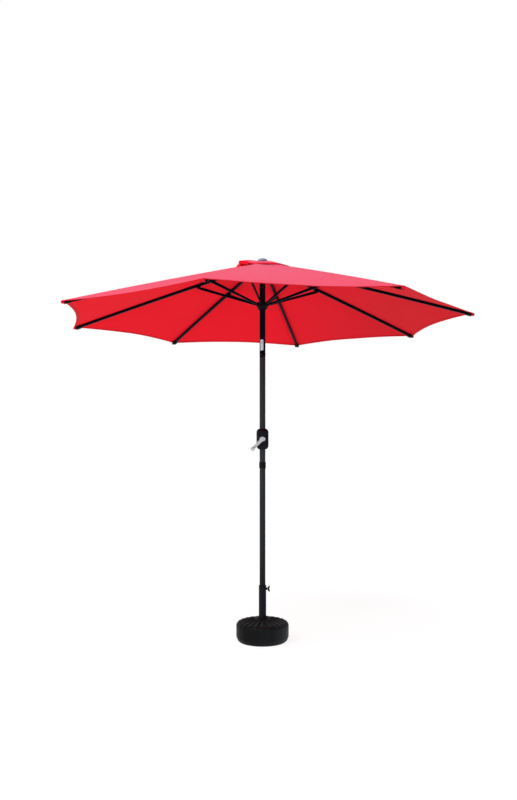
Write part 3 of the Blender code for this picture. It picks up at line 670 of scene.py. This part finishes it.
def rounded_section(width, low, high, bulge=0.25):
    """Eight points round a flat closed section."""
    w, mid, half = width / 2, (low + high) / 2, (high - low) / 2
    return [
        (-w, mid - half * bulge),
        (-w * 0.86, low),
        (w * 0.86, low),
        (w, mid - half * bulge),
        (w, mid + half * bulge),
        (w * 0.86, high),
        (-w * 0.86, high),
        (-w, mid + half * bulge),
    ]


def main_sector(k):
    cloth = with_rib(sector(f"canopy_cloth_{k}", k, MAIN, 14, 64, 0.0012), k, "canopy")
    hem = with_rib(rim_strip(f"canopy_hem_{k}", k, MAIN, 18, HEM, RED_HEM), k)
    # Pocket over the end of the rib's cap: folded cloth that closes past the hem.
    folds = [
        (1.3080, rounded_section(0.0170, -0.0178, -0.0006)),
        (1.3130, rounded_section(0.0185, -0.0182, 0.0004)),
        (1.3190, rounded_section(0.0170, -0.0170, 0.0006)),
        (1.3230, rounded_section(0.0140, -0.0140, 0.0002)),
        (1.3255, rounded_section(0.0095, -0.0100, -0.0010)),
    ]
    pocket = with_rib(strip(f"canopy_pocket_{k}", k, folds, RED_POCKET), k)


def vent_sector(k):
    """One sector of the vent canopy, its hem, and the strap that ties it to the main canopy."""
    cloth = with_rib(sector(f"vent_cloth_{k}", k, VENT, 7, 14, 0.0011), k, "vent_canopy")
    # Over the last rib the vent's edge stands up most, and its hem hangs down to the canopy.
    # The other vent hems use the top cloth with its painted light.
    drop, look = (0.021, RED_VENT_HEM) if k == RIBS else (0.0065, RED_TOP_PAINTED_LIGHT)
    hem = with_rib(rim_strip(f"vent_hem_{k}", k, VENT, 8, vent_hem_section(drop), look), k)
    rise = vent_height(0.1706, k) - canopy_height(0.1706)
    band = rounded_section(0.011, -0.0004, rise - 0.0012)
    strap = with_rib(strip(f"vent_strap_{k}", k, [(0.1700, band), (0.1712, band)], RED_VENT_HEM), k)


for k in RIB_NUMBERS:
    main_sector(k)
    vent_sector(k)


# Frame nodes that keep their CAD shape ---------
def smoothing_group():
    """Merges doubled points, smooths, and keeps edges over 32 degrees sharp."""
    group = bpy.data.node_groups.new("smooth by edge", "GeometryNodeTree")
    group.interface.new_socket("Geometry", in_out="INPUT", socket_type="NodeSocketGeometry")
    group.interface.new_socket("Geometry", in_out="OUTPUT", socket_type="NodeSocketGeometry")
    source = group.nodes.new("NodeGroupInput")
    merge = group.nodes.new("GeometryNodeMergeByDistance")
    merge.inputs["Distance"].default_value = 0.00002
    faces = group.nodes.new("GeometryNodeSetShadeSmooth")
    edges = group.nodes.new("GeometryNodeSetShadeSmooth")
    edges.domain = "EDGE"
    angle = group.nodes.new("GeometryNodeInputMeshEdgeAngle")
    keep = group.nodes.new("FunctionNodeCompare")
    keep.operation = "LESS_THAN"
    keep.inputs["B"].default_value = math.radians(32)
    target = group.nodes.new("NodeGroupOutput")
    link = group.links.new
    link(source.outputs[0], merge.inputs["Geometry"])
    link(merge.outputs[0], faces.inputs["Geometry"])
    link(faces.outputs[0], edges.inputs["Geometry"])
    link(angle.outputs["Unsigned Angle"], keep.inputs["A"])
    link(keep.outputs[0], edges.inputs["Shade Smooth"])
    link(edges.outputs[0], target.inputs[0])
    return group


SMOOTHING = smoothing_group()


def dress(names, material, bevel=0.0):
    """A CAD node as it is, with a material, smooth sides and small bevels."""
    for name in names:
        node = NODES[name]
        if not node.data.materials:
            node.data.materials.append(material)
        for slot in node.material_slots:
            slot.link = "OBJECT"
            slot.material = material
        node.modifiers.new("Smooth", "NODES").node_group = SMOOTHING
        if bevel:
            step = node.modifiers.new("Edges", "BEVEL")
            step.width, step.segments, step.limit_method = bevel, 2, "ANGLE"
            step.angle_limit = math.radians(40)


dress([f"{kind}_{k}" for kind in ("rib", "strut") for k in RIB_NUMBERS], NAVY_STEEL, 0.0007)
dress(["top_hub"], BLACK_PLASTIC, 0.0006)
dress(["tilt_yoke", "tilt_tongue"], NAVY_STEEL, 0.0005)
dress(["hub_pulley", "crank_spool", "pole_spigot"], SILVER, 0.0003)
dress(["tilt_pin"], RIVET, 0.0003)
dress(["vent_spacer", "pole_foot"], BLACK_PLASTIC, 0.0004)
dress(["water_fill"], WATER)


# Ribs and struts: their tubes with rounded corners, stout hinges, rivets, end caps ---
HINGE = Vector((STRUT_R, 0, STRUT_Z))


def rib_tube(k):
    rail = rounded_section(0.0148, -0.0198, -0.0024)
    stations = [(0.062 + 1.2 * step / 24, rail) for step in range(25)]
    place_on(strip(f"rib_tube_{k}", k, stations, NAVY_STEEL), f"rib{k}", "black_steel")


def rib_hinge(k, spin):
    """Two cheeks under the rib, joined by a roof, that hold the strut."""
    back, front = STRUT_R - 0.017, STRUT_R + 0.015
    cheeks = []
    for side in (-1, 1):
        low, high = sorted((side * 0.0057, side * 0.0078))
        points = ends_of(HINGE + Vector((0, low, 0)), HINGE + Vector((0, high, 0)), 0.0064)
        for x in (back, front):
            for y in (low, high):
                foot_z = canopy_height(x) - 0.0185
                points += [Vector((x, y, foot_z)), Vector((x, y, foot_z + 0.0130))]
        cheeks.append(hull("cheek", points))
    roof_z = canopy_height(STRUT_R) - 0.0195
    roof = box("roof", (back, -0.0078, roof_z - 0.0014), (front, 0.0078, roof_z + 0.004))
    bracket = combine(cheeks[0], [cheeks[1], roof], "UNION")
    bracket.name = f"rib_hinge_{k}"
    bracket.data.transform(spin)
    bracket.data.materials.append(NAVY_STEEL)
    place_on(bevelled(bracket, 0.0006, 2), f"rib{k}", "black_steel")


def rib_rivet(k, spin):
    reach = Vector((0, 0.0088, 0))
    rivet = cylinder(f"rib_rivet_{k}", HINGE - reach, HINGE + reach, 0.0026, 20, material=RIVET)
    rivet.data.transform(spin)
    place_on(bevelled(rivet, 0.0007, 2), f"rib{k}", "silver_metal")


def strut_tube(k, spin):
    """A flat tube from the rib's hinge to the runner, a little arched at its upper end."""
    foot = Vector((PIVOT_R, 0, RUNNER_Z))
    way = (foot - HINGE).normalized()
    wide = Vector((0, 0.0053, 0))
    top, low = HINGE + way * 0.016, foot - way * 0.024
    arch = HINGE + way * 0.028 + Vector((0, 0, 0.0045))
    points = []
    for spot, radius in ((top, 0.0076), (low, 0.0062), (arch, 0.0070)):
        points += ends_of(spot - wide, spot + wide, radius)
    tube = bevelled(hull(f"strut_tube_{k}", points, NAVY_STEEL, spin), 0.0012, 2, 50)
    place_on(tube, f"strut{k}", "black_steel")


def rib_cap(k):
    """The cap on the rib's end. Each row is the distance along the rib, the width, the bottom and the top."""
    rows = [
        (1.2640, 0.0152, -0.0202, -0.0030),
        (1.2680, 0.0156, -0.0205, -0.0030),
        (1.2700, 0.0260, -0.0215, -0.0056),
        (1.2730, 0.0330, -0.0225, -0.0060),
        (1.3000, 0.0345, -0.0225, -0.0062),
        (1.3040, 0.0325, -0.0220, -0.0064),
        (1.3068, 0.0260, -0.0205, -0.0066),
        (1.3078, 0.0148, -0.0166, -0.0046),
        (1.3140, 0.0122, -0.0152, -0.0052),
    ]
    sections = [(along, rounded_section(wide, low, high)) for along, wide, low, high in rows]
    tip = strip(f"rib_cap_{k}", k, sections, BLACK_PLASTIC)
    place_on(bevelled(tip, 0.0005, 2, 45), f"rib{k}", "black_plastic", f"rib_tip_{k}")


for k in RIB_NUMBERS:
    around = Matrix.Rotation(rib_azimuth(k), 4, "Z")
    rib_tube(k)
    rib_hinge(k, around)
    rib_rivet(k, around)
    strut_tube(k, around)
    rib_cap(k)

# Runner ----------------------------------------
runner = lathe(
    "runner_look",
    [
        (0.0365, 2.190), (0.0385, 2.187), (0.0385, 2.163), (0.0315, 2.156),
        (0.0275, 2.144), (0.0262, 2.142), (0.0215, 2.142), (0.0215, 2.190),
    ],
    BLACK_PLASTIC,
    segments=96,
)
slots = []
for k in RIB_NUMBERS:
    spin = Matrix.Rotation(rib_azimuth(k), 4, "Z")
    slots.append(box("slot", (0.0262, -0.0049, 2.1683), (0.050, 0.0049, 2.200), spin))
    pin = cylinder("pin", (PIVOT_R, -0.0069, RUNNER_Z), (PIVOT_R, 0.0069, RUNNER_Z), 0.0024, 16)
    pin.data.transform(spin)
    slots.append(pin)
knot = cylinder("knot", (CORD_R, 0, 2.178), (CORD_R, 0, 2.200), 0.0016, 16)
knot.data.transform(Matrix.Rotation(CORD_AZIMUTH, 4, "Z"))
place_on(combine(runner, slots + [knot]), "slider", "black_plastic", "runner")


# Lift cord: two runs that meet in the tilt joint, so that each stays in its own pole ---
def cord_run(name, route, body, *stands_for):
    """A round cord through the points of route."""
    line = bpy.data.curves.new(name, "CURVE")
    line.dimensions = "3D"
    line.bevel_depth = 0.00125
    line.bevel_resolution = 3
    line.use_fill_caps = True
    spline = line.splines.new("POLY")
    spline.points.add(len(route) - 1)
    for point, spot in zip(spline.points, route):
        point.co = (*spot, 1)
    path = bpy.data.objects.new(name, line)
    mesh = bpy.data.meshes.new_from_object(path)
    bm = bmesh.new()
    bm.from_mesh(mesh)
    bpy.data.objects.remove(path)
    bpy.data.meshes.remove(mesh)
    place_on(finished(name, bm, CORD, 60), body, "cord", *stands_for)


outside = []
wrap = CORD_R - PULLEY_R
for step in range(11):
    angle = math.pi * (1 - step / 10)
    outside.append(Vector((PULLEY_R + wrap * math.cos(angle), 0, PULLEY_Z + wrap * math.sin(angle))))
outside.append(Vector((CORD_R, 0, 2.179)))
outside = [Matrix.Rotation(CORD_AZIMUTH, 3, "Z") @ spot for spot in outside]
inside = [(0.0097, 0, 1.300), (0.0097, 0, 1.325), (0, 0.0075, 1.790), (0, 0.0075, 1.850)]
cord_run("lift_cord_high", [(0, 0.0075, 1.862), (0, 0.0075, 1.915), *outside], "head", "lift_cord")
cord_run("lift_cord_low", inside, "pole_mid")

# Base ------------------------------------------
RAYS = 24


def base_wave(angle, r, z):
    """Scoops between sharp rays over the top, faint scallops round the side."""
    ray = 1 - 2 * abs(math.sin(RAYS * angle / 2)) ** 0.8
    top = smooth_step(0.046, 0.062, r) * (1 - smooth_step(0.152, 0.1675, r)) if z > 0.110 else 0.0
    side = smooth_step(0.030, 0.100, z) * smooth_step(0.160, 0.168, r)
    return r + 0.0008 * side * math.cos(RAYS * angle), z + 0.0018 * top * ray


base = lathe(
    "base_look",
    [
        (0.0246, 0.1475), (0.0440, 0.1475), (0.0500, 0.1462), (0.0600, 0.1441), (0.0700, 0.1420),
        (0.0880, 0.1385), (0.1050, 0.1352), (0.1200, 0.1322), (0.1350, 0.1292), (0.1540, 0.1245),
        (0.1655, 0.1160), (0.1695, 0.1040), (0.1695, 0.0320), (0.1610, 0.0090), (0.1500, 0.0000),
        (0.0460, 0.0000), (0.0460, 0.0065), (0.0246, 0.0065),
    ],
    BASE_PLASTIC,
    round_by=0.004,
    segments=384,
    wave=base_wave,
)
cavity = lathe(
    "cavity",
    [
        (0.0285, 0.1395), (0.0500, 0.1390), (0.1050, 0.1285), (0.1500, 0.1190),
        (0.1620, 0.1120), (0.1655, 0.1020), (0.1655, 0.0340), (0.1580, 0.0120),
        (0.1485, 0.0035), (0.0500, 0.0035), (0.0500, 0.0100), (0.0285, 0.0100),
    ],
    None,
    round_by=0.002,
)
boss = cylinder("boss", (*FILL, 0.120), (*FILL, 0.140), 0.0190, 64, 0.0182)
hole = cylinder("hole", (*FILL, 0.110), (*FILL, 0.150), 0.0115, 48)
seat = cylinder("seat", (*FILL, 0.1345), (*FILL, 0.150), 0.0150, 64)
combine(combine(base, [cavity]), [boss], "UNION")
place_on(combine(base, [hole, seat]), "base", "black_plastic", "base_shell")


def knurled(count, depth, beyond):
    """A wave for lathe that flutes everything further out than beyond."""
    return lambda angle, r, z: (r + depth * math.cos(count * angle) if r > beyond else r, z)


CAP_SEAT = (*FILL, 0.1349)
cap = lathe(
    "fill_cap_look",
    [
        (0, 0.0032), (0.0133, 0.0032), (0.0142, 0.0022), (0.0142, 0),
        (0.0110, 0), (0.0110, -0.0095), (0, -0.0095),
    ],
    BLACK_PLASTIC,
    at=CAP_SEAT,
    segments=112,
    closed=False,
    wave=knurled(28, 0.0003, 0.0138),
)
grip = box("grip", (-0.009, -0.0015, 0.002), (0.009, 0.0015, 0.0055), Matrix.Translation(CAP_SEAT))
combine(cap, [bevelled(grip, 0.0006, 2)], "UNION")
place_on(cap, "cap", "black_plastic", "fill_cap")

sleeve = lathe(
    "sleeve_look",
    [
        (0, 0.0125), (0.0215, 0.0125), (0.0215, 0.352), (0.0240, 0.352),
        (0.0240, 0.0055), (0.0420, 0.0055), (0.0420, 0.0015), (0, 0.0015),
    ],
    SLEEVE_STEEL,
    segments=96,
    closed=False,
)
screw_boss = cylinder("boss", (0.0228, 0, CLAMP_Z), (0.0310, 0, CLAMP_Z), 0.0088, 48, 0.0082)
screw_hole = cylinder("hole", (0.010, 0, CLAMP_Z), (0.040, 0, CLAMP_Z), 0.0044, 32)
combine(combine(sleeve, [screw_boss], "UNION"), [screw_hole])
place_on(sleeve, "base", "black_steel", "sleeve_tube")
flange = lathe(
    "sleeve_flange_look",
    [
        (0.0275, 0.1605), (0.0290, 0.1560), (0.0305, 0.1545), (0.0372, 0.1522),
        (0.0380, 0.1510), (0.0380, 0.1479), (0.0244, 0.1479), (0.0244, 0.1605),
    ],
    BASE_PLASTIC,
    segments=96,
)
place_on(flange, "base", "black_plastic", "sleeve_flange")
adaptor = lathe(
    "sleeve_adaptor_look",
    [
        (0.0245, 0.3585), (0.0255, 0.3570), (0.0255, 0.3524), (0.0211, 0.3524),
        (0.0211, 0.3000), (0.0195, 0.3000), (0.0195, 0.3585),
    ],
    BASE_PLASTIC,
    segments=96,
)
combine(adaptor, [box("notch", (0.015, -0.006, 0.290), (0.024, 0.006, CLAMP_Z + 0.006))])
place_on(adaptor, "adaptor", "black_plastic", "sleeve_adaptor")

# Clamp screw -----------------------------------
CLAMP = (0, 0, CLAMP_Z)
AXIS_X, AXIS_FRONT = (0, math.pi / 2, 0), (math.pi / 2, 0, 0)
washer_profile = [(0.0095, 0.0315), (0.0095, 0.0332), (0.0044, 0.0332), (0.0044, 0.0315)]
washer = lathe("clamp_washer_look", washer_profile, SILVER, CLAMP, AXIS_X, 0.0003, 48)
place_on(washer, "clamp_slider", "silver_metal", "clamp_washer")
thread = [(0.0040 if turn % 2 else 0.0036, 0.0332 - 0.0005 * turn) for turn in range(26)]
screw_profile = [(0, 0.0420), (0.0040, 0.0420), (0.0040, 0.0335), *thread, (0.0030, 0.0194), (0, 0.0194)]
screw = lathe("clamp_screw_look", screw_profile, SILVER, CLAMP, AXIS_X, 0, 32, False)
place_on(screw, "clamp", "silver_metal", "clamp_screw")
knob_profile = [
    (0, 0.0445), (0.0078, 0.0445), (0.0085, 0.0436),
    (0.0085, 0.0345), (0.0078, 0.0336), (0, 0.0336),
]
knob = lathe("clamp_knob_look", knob_profile, BLACK_PLASTIC, CLAMP, AXIS_X, 0.0006, 48, False)
wings = []
for side in (-1, 1):
    root = ends_of((0.0372, -0.0030, CLAMP_Z), (0.0372, 0.0030, CLAMP_Z), 0.0060)
    lobe_z = CLAMP_Z + side * 0.0140
    wings.append(hull("wing", root + ends_of((0.0430, -0.0038, lobe_z), (0.0430, 0.0038, lobe_z), 0.0052)))
combine(knob, wings, "UNION")
combine(knob, [cylinder("bore", (0.0300, 0, CLAMP_Z), (0.0424, 0, CLAMP_Z), 0.0043, 32)])
place_on(bevelled(knob, 0.0006, 2, 40), "clamp", "black_plastic", "clamp_knob")


# Pole ------------------------------------------
def shaft_hole():
    """The hole in the front of the pole and of the winder's housing for the crank's shaft."""
    return cylinder("shaft", (0, -0.010, CRANK_Z), (0, -0.045, CRANK_Z), SHAFT_HOLE_R, 32)


def pole(name, low, high, material):
    profile = [(POLE_R, high), (POLE_R, low), (POLE_IN, low), (POLE_IN, high)]
    return lathe(name, profile, material, round_by=0.0004, segments=96)


place_on(pole("lower_pole_look", 0.020, JOINT_Z, POLE_STEEL), "pole_low", "charcoal_steel", "lower_pole")
middle = pole("middle_pole_look", JOINT_Z + 0.0004, TILT_Z - 0.020, POLE_STEEL)
place_on(combine(middle, [shaft_hole()]), "pole_mid", "charcoal_steel", "middle_pole")
BUTTON_AT = Vector((0, 0, 1.925))


def button_hole():
    way = Vector((math.cos(FRONT), math.sin(FRONT), 0))
    return cylinder("hole", BUTTON_AT + way * 0.012, BUTTON_AT + way * 0.026, 0.0046, 32)


upper = pole("upper_pole_look", TILT_Z + 0.0198, 2.400, NAVY_STEEL)
place_on(combine(upper, [button_hole()]), "head", "black_steel", "upper_pole")
collar = lathe(
    "joint_collar_look",
    [
        (0.0212, 1.1570), (0.0221, 1.1552), (0.0221, 1.1440), (0.0216, 1.1434), (0.0216, 1.1426),
        (0.0221, 1.1420), (0.0221, 1.1320), (0.0216, 1.1314), (0.0216, 1.1306), (0.0221, 1.1300),
        (0.0221, 1.1188), (0.0212, 1.1170), (0.0194, 1.1170), (0.0194, 1.1570),
    ],
    BASE_PLASTIC,
    round_by=0.0003,
    segments=96,
)
place_on(collar, "pole_low", "black_plastic", "joint_collar")

# Tilt joint: packing that closes the gaps round its knuckle ---
def packing(name, x, z, radius, body):
    """A saddle that follows the knuckle at that radius, between two values of x and of z."""
    low, high = (x[0], -0.0165, TILT_Z + z[0]), (x[1], 0.0165, TILT_Z + z[1])
    saddle = box(name, low, high, material=NAVY_STEEL)
    outline = cylinder("outline", (0, 0, 1.83), (0, 0, 1.88), 0.0189, 96)
    knuckle = cylinder("knuckle", (-0.03, 0, TILT_Z), (0.03, 0, TILT_Z), radius, 64)
    combine(saddle, [outline], "INTERSECT")
    return place_on(combine(saddle, [knuckle]), body, "black_steel")


packing("tilt_packing_left", (-0.0188, -0.0076), (0.0040, 0.0136), 0.0127, "head")
packing("tilt_packing_right", (0.0076, 0.0188), (0.0040, 0.0136), 0.0127, "head")
packing("tilt_packing_low", (-0.0068, 0.0068), (-0.0134, -0.0040), 0.0122, "pole_mid")
ring = [(0.0118, 0.00705), (0.0118, 0.00745), (0.0034, 0.00745), (0.0034, 0.00705)]
for side in (-1, 1):
    turn = (0, side * math.pi / 2, 0)
    washer = lathe("tilt_washer", ring, NAVY_STEEL, (0, 0, TILT_Z), turn, 0, 48)
    place_on(washer, "pole_mid", "black_steel")

# Tilt plate and button -------------------------
PLATE_FOOT, PLATE_TALL, PLATE_HALF = 1.8775, 0.0705, math.radians(30)
PLATE_CORNER = 0.004
PLATE_WAY = FRONT - math.radians(6)


def wrapped_sheet(bm, radius, columns=24, rows=20):
    """A sheet bent round the pole, with rounded corners. Returns the points of its rim in order."""
    grid = []
    for row in range(rows + 1):
        up = PLATE_TALL * 0.5 * (1 - math.cos(math.pi * row / rows))
        near = min(up, PLATE_TALL - up)
        inset = PLATE_CORNER - math.sqrt(max(0.0, PLATE_CORNER**2 - max(0.0, PLATE_CORNER - near) ** 2))
        half = PLATE_HALF - inset / 0.0198
        line = []
        for column in range(columns + 1):
            angle = PLATE_WAY + half * (2 * column / columns - 1)
            spot = (radius * math.cos(angle), radius * math.sin(angle), PLATE_FOOT + up)
            line.append(bm.verts.new(spot))
        grid.append(line)
    for a, b in zip(grid, grid[1:]):
        for c in range(columns):
            bm.faces.new((a[c], a[c + 1], b[c + 1], b[c]))
    right, left = [line[-1] for line in grid[1:]], [line[0] for line in grid[-2:0:-1]]
    return [*grid[0], *right, *grid[-1][-2::-1], *left]


bm = bmesh.new()
outer_rim, inner_rim = (wrapped_sheet(bm, radius) for radius in (0.0203, 0.0194))
for c in range(len(outer_rim)):
    n = (c + 1) % len(outer_rim)
    bm.faces.new((outer_rim[c], outer_rim[n], inner_rim[n], inner_rim[c]))
plate = combine(finished("tilt_plate_look", bm, PLATE_SILVER), [button_hole()])
place_on(plate, "head", "silver_metal", "tilt_plate")
button_profile = [
    (0, 0.0211), (0.0034, 0.0211), (0.0042, 0.0205), (0.0042, 0.0157),
    (0.0062, 0.0157), (0.0062, 0.0142), (0, 0.0142),
]
facing = (math.pi / 2, 0, FRONT + math.pi / 2)
button = lathe("tilt_button_look", button_profile, SILVER, BUTTON_AT, facing, 0.0004, 48, False)
place_on(button, "button", "silver_metal", "tilt_button")

# Winder ----------------------------------------
def housing_screw(case, x, z):
    """A cross-head screw in a well of the case."""
    combine(case, [cylinder("well", (x, 0.0325, z), (x, 0.0400, z), 0.0034, 24)])
    head = cylinder("housing_screw", (x, 0.0326, z), (x, 0.0345, z), 0.0030, 24, 0.0026, SILVER)
    slots = []
    for w, h in ((0.0019, 0.0004), (0.0004, 0.0019)):
        slots.append(box("slot", (x - w, 0.0336, z - h), (x + w, 0.0360, z + h)))
    place_on(combine(head, slots), "pole_mid", "silver_metal")


def centred_box(name, x, y, z, material=None):
    """A box round the crank's height, given by its half sizes."""
    return box(name, (-x, -y, CRANK_Z - z), (x, y, CRANK_Z + z), material=material)


for name, side in (("housing_front", -1), ("housing_back", 1)):
    case = bevelled(centred_box(f"{name}_look", 0.039, 0.036, 0.068, HOUSING_PLASTIC), 0.0245, 10, 30)
    near, far = sorted((-side * -0.0002, -side * 0.05))
    cuts = [
        box("split", (-0.05, near, 1.20), (0.05, far, 1.42)),
        bevelled(centred_box("pocket", 0.031, 0.028, 0.058), 0.017, 5, 30),
        cylinder("bore", (0, 0, 1.20), (0, 0, 1.42), POLE_R + 0.0004, 96),
    ]
    if side < 0:
        cuts.append(shaft_hole())
    combine(case, cuts)
    if side > 0:
        for x in (-0.0105, 0.0105):
            for z in (CRANK_Z - 0.034, CRANK_Z + 0.034):
                housing_screw(case, x, z)
    place_on(case, "pole_mid", "black_plastic", name)

# Crank: it points down to the left, 45 degrees from level
REACH = 0.089 / math.sqrt(2)
arm = cylinder(
    "crank_arm_look", (0, -0.0368, 0), (0, -0.0500, 0), 0.0188, 64, material=SILVER_ARM, flatten=0.76
)
bevelled(arm, 0.0016, 3)
root = ends_of((-0.004, -0.0430, -0.004), (-0.004, -0.0500, -0.004), 0.0106)
end = ends_of((-REACH, -0.0430, -REACH), (-REACH, -0.0500, -REACH), 0.0094)
bar = bevelled(hull("bar", root + end), 0.0016, 3, 50)
pin = cylinder("pin", (-REACH, -0.0470, -REACH), (-REACH, -0.0800, -REACH), 0.0030, 24)
socket = cylinder("socket", (0, -0.0300, 0), (0, -0.0466, 0), 0.0053, 32)
combine(combine(arm, [bar, pin], "UNION"), [socket])
arm.data.transform(Matrix.Translation((0, 0, CRANK_Z)))
place_on(arm, "crank", "silver_metal", "crank_arm")
bolt_profile = [(0, 0.0514), (0.0030, 0.0513), (0.0044, 0.0507), (0.0048, 0.0498), (0, 0.0498)]
bolt = lathe("crank_bolt", bolt_profile, SILVER, (0, 0, CRANK_Z), AXIS_FRONT, 0.0003, 32, False)
place_on(bolt, "crank", "silver_metal")
handle_profile = [
    (0, 0.0880), (0.0090, 0.0880), (0.0130, 0.0840), (0.0130, 0.0600),
    (0.0100, 0.0525), (0.0034, 0.0525), (0.0034, 0.0810), (0, 0.0810),
]
handle = lathe(
    "crank_knob_look",
    handle_profile,
    SILVER_ARM,
    (-REACH, 0, CRANK_Z - REACH),
    AXIS_FRONT,
    0.0012,
    96,
    False,
    knurled(14, 0.00025, 0.0115),
)
place_on(handle, "knob", "silver_metal", "crank_knob")

# Finial ----------------------------------------
finial = lathe(
    "finial_look",
    [
        (0, 2.4760), (0.0120, 2.4750), (0.0230, 2.4715), (0.0310, 2.4650), (0.0335, 2.4590),
        (0.0335, 2.4546), (0.0060, 2.4594), (0.0040, 2.4594), (0.0040, 2.4380), (0, 2.4380),
    ],
    GREY_BLUE,
    round_by=0.0030,
    segments=96,
    closed=False,
)
place_on(finial, "head", "grey_blue_plastic", "finial")

# Stage -----------------------------------------
bm = bmesh.new()
bmesh.ops.create_circle(bm, cap_ends=True, segments=96, radius=60)
floor = finished("floor", bm, None)
floor.location.z = -0.0005
floor_look = Nodes("floor")
cloud = floor_look.remap(floor_look.noise(1.2), 0.3, 0.7)
floor_look.set(Base_Color=floor_look.mix(cloud, (0.20,) * 3, (0.22,) * 3), Roughness=0.9)
floor_look.set(Specular_IOR_Level=0.0, Emission_Color=(1, 1, 1, 1), Emission_Strength=0.86)
floor.data.materials.append(floor_look.material)

world = bpy.data.worlds.new("studio")
world.use_nodes = True
SCENE.world = world
nodes, link = world.node_tree.nodes, world.node_tree.links.new
# The room is dimmer on the right, and looks white to the camera.
background, seen = nodes["Background"], nodes.new("ShaderNodeBackground")
for shader in (background, seen):
    shader.inputs["Color"].default_value = (1, 1, 1, 1)
spot, split = nodes.new("ShaderNodeTexCoord"), nodes.new("ShaderNodeSeparateXYZ")
dim = nodes.new("ShaderNodeMapRange")
for key, value in (("From Min", -0.3), ("From Max", 0.8), ("To Min", 0.75), ("To Max", 0.12)):
    dim.inputs[key].default_value = value
link(spot.outputs["Generated"], split.inputs[0])
link(split.outputs["X"], dim.inputs["Value"])
link(dim.outputs["Result"], background.inputs["Strength"])
mixer, path = nodes.new("ShaderNodeMixShader"), nodes.new("ShaderNodeLightPath")
link(path.outputs["Is Camera Ray"], mixer.inputs[0])
link(background.outputs[0], mixer.inputs[1])
link(seen.outputs[0], mixer.inputs[2])
link(mixer.outputs[0], nodes["World Output"].inputs["Surface"])


def light(name, kind, at, aim, energy, size):
    """A white light. size is a sun's angle in degrees, or an area's side in metres."""
    lamp = bpy.data.lights.new(name, kind)
    lamp.energy = energy
    if kind == "SUN":
        lamp.angle = math.radians(size)
    else:
        lamp.size = size
    obj = bpy.data.objects.new(name, lamp)
    obj.location = at
    obj.rotation_euler = (Vector(aim) - Vector(at)).to_track_quat("-Z", "Y").to_euler()
    SCENE.collection.objects.link(obj)


light("sky", "SUN", (-1.5, -2.5, 6), (0, 0, 1), 1.6, 50)
light("key", "AREA", (-3.2, -3.6, 3.6), (0, 0, 1.4), 70, 2.5)
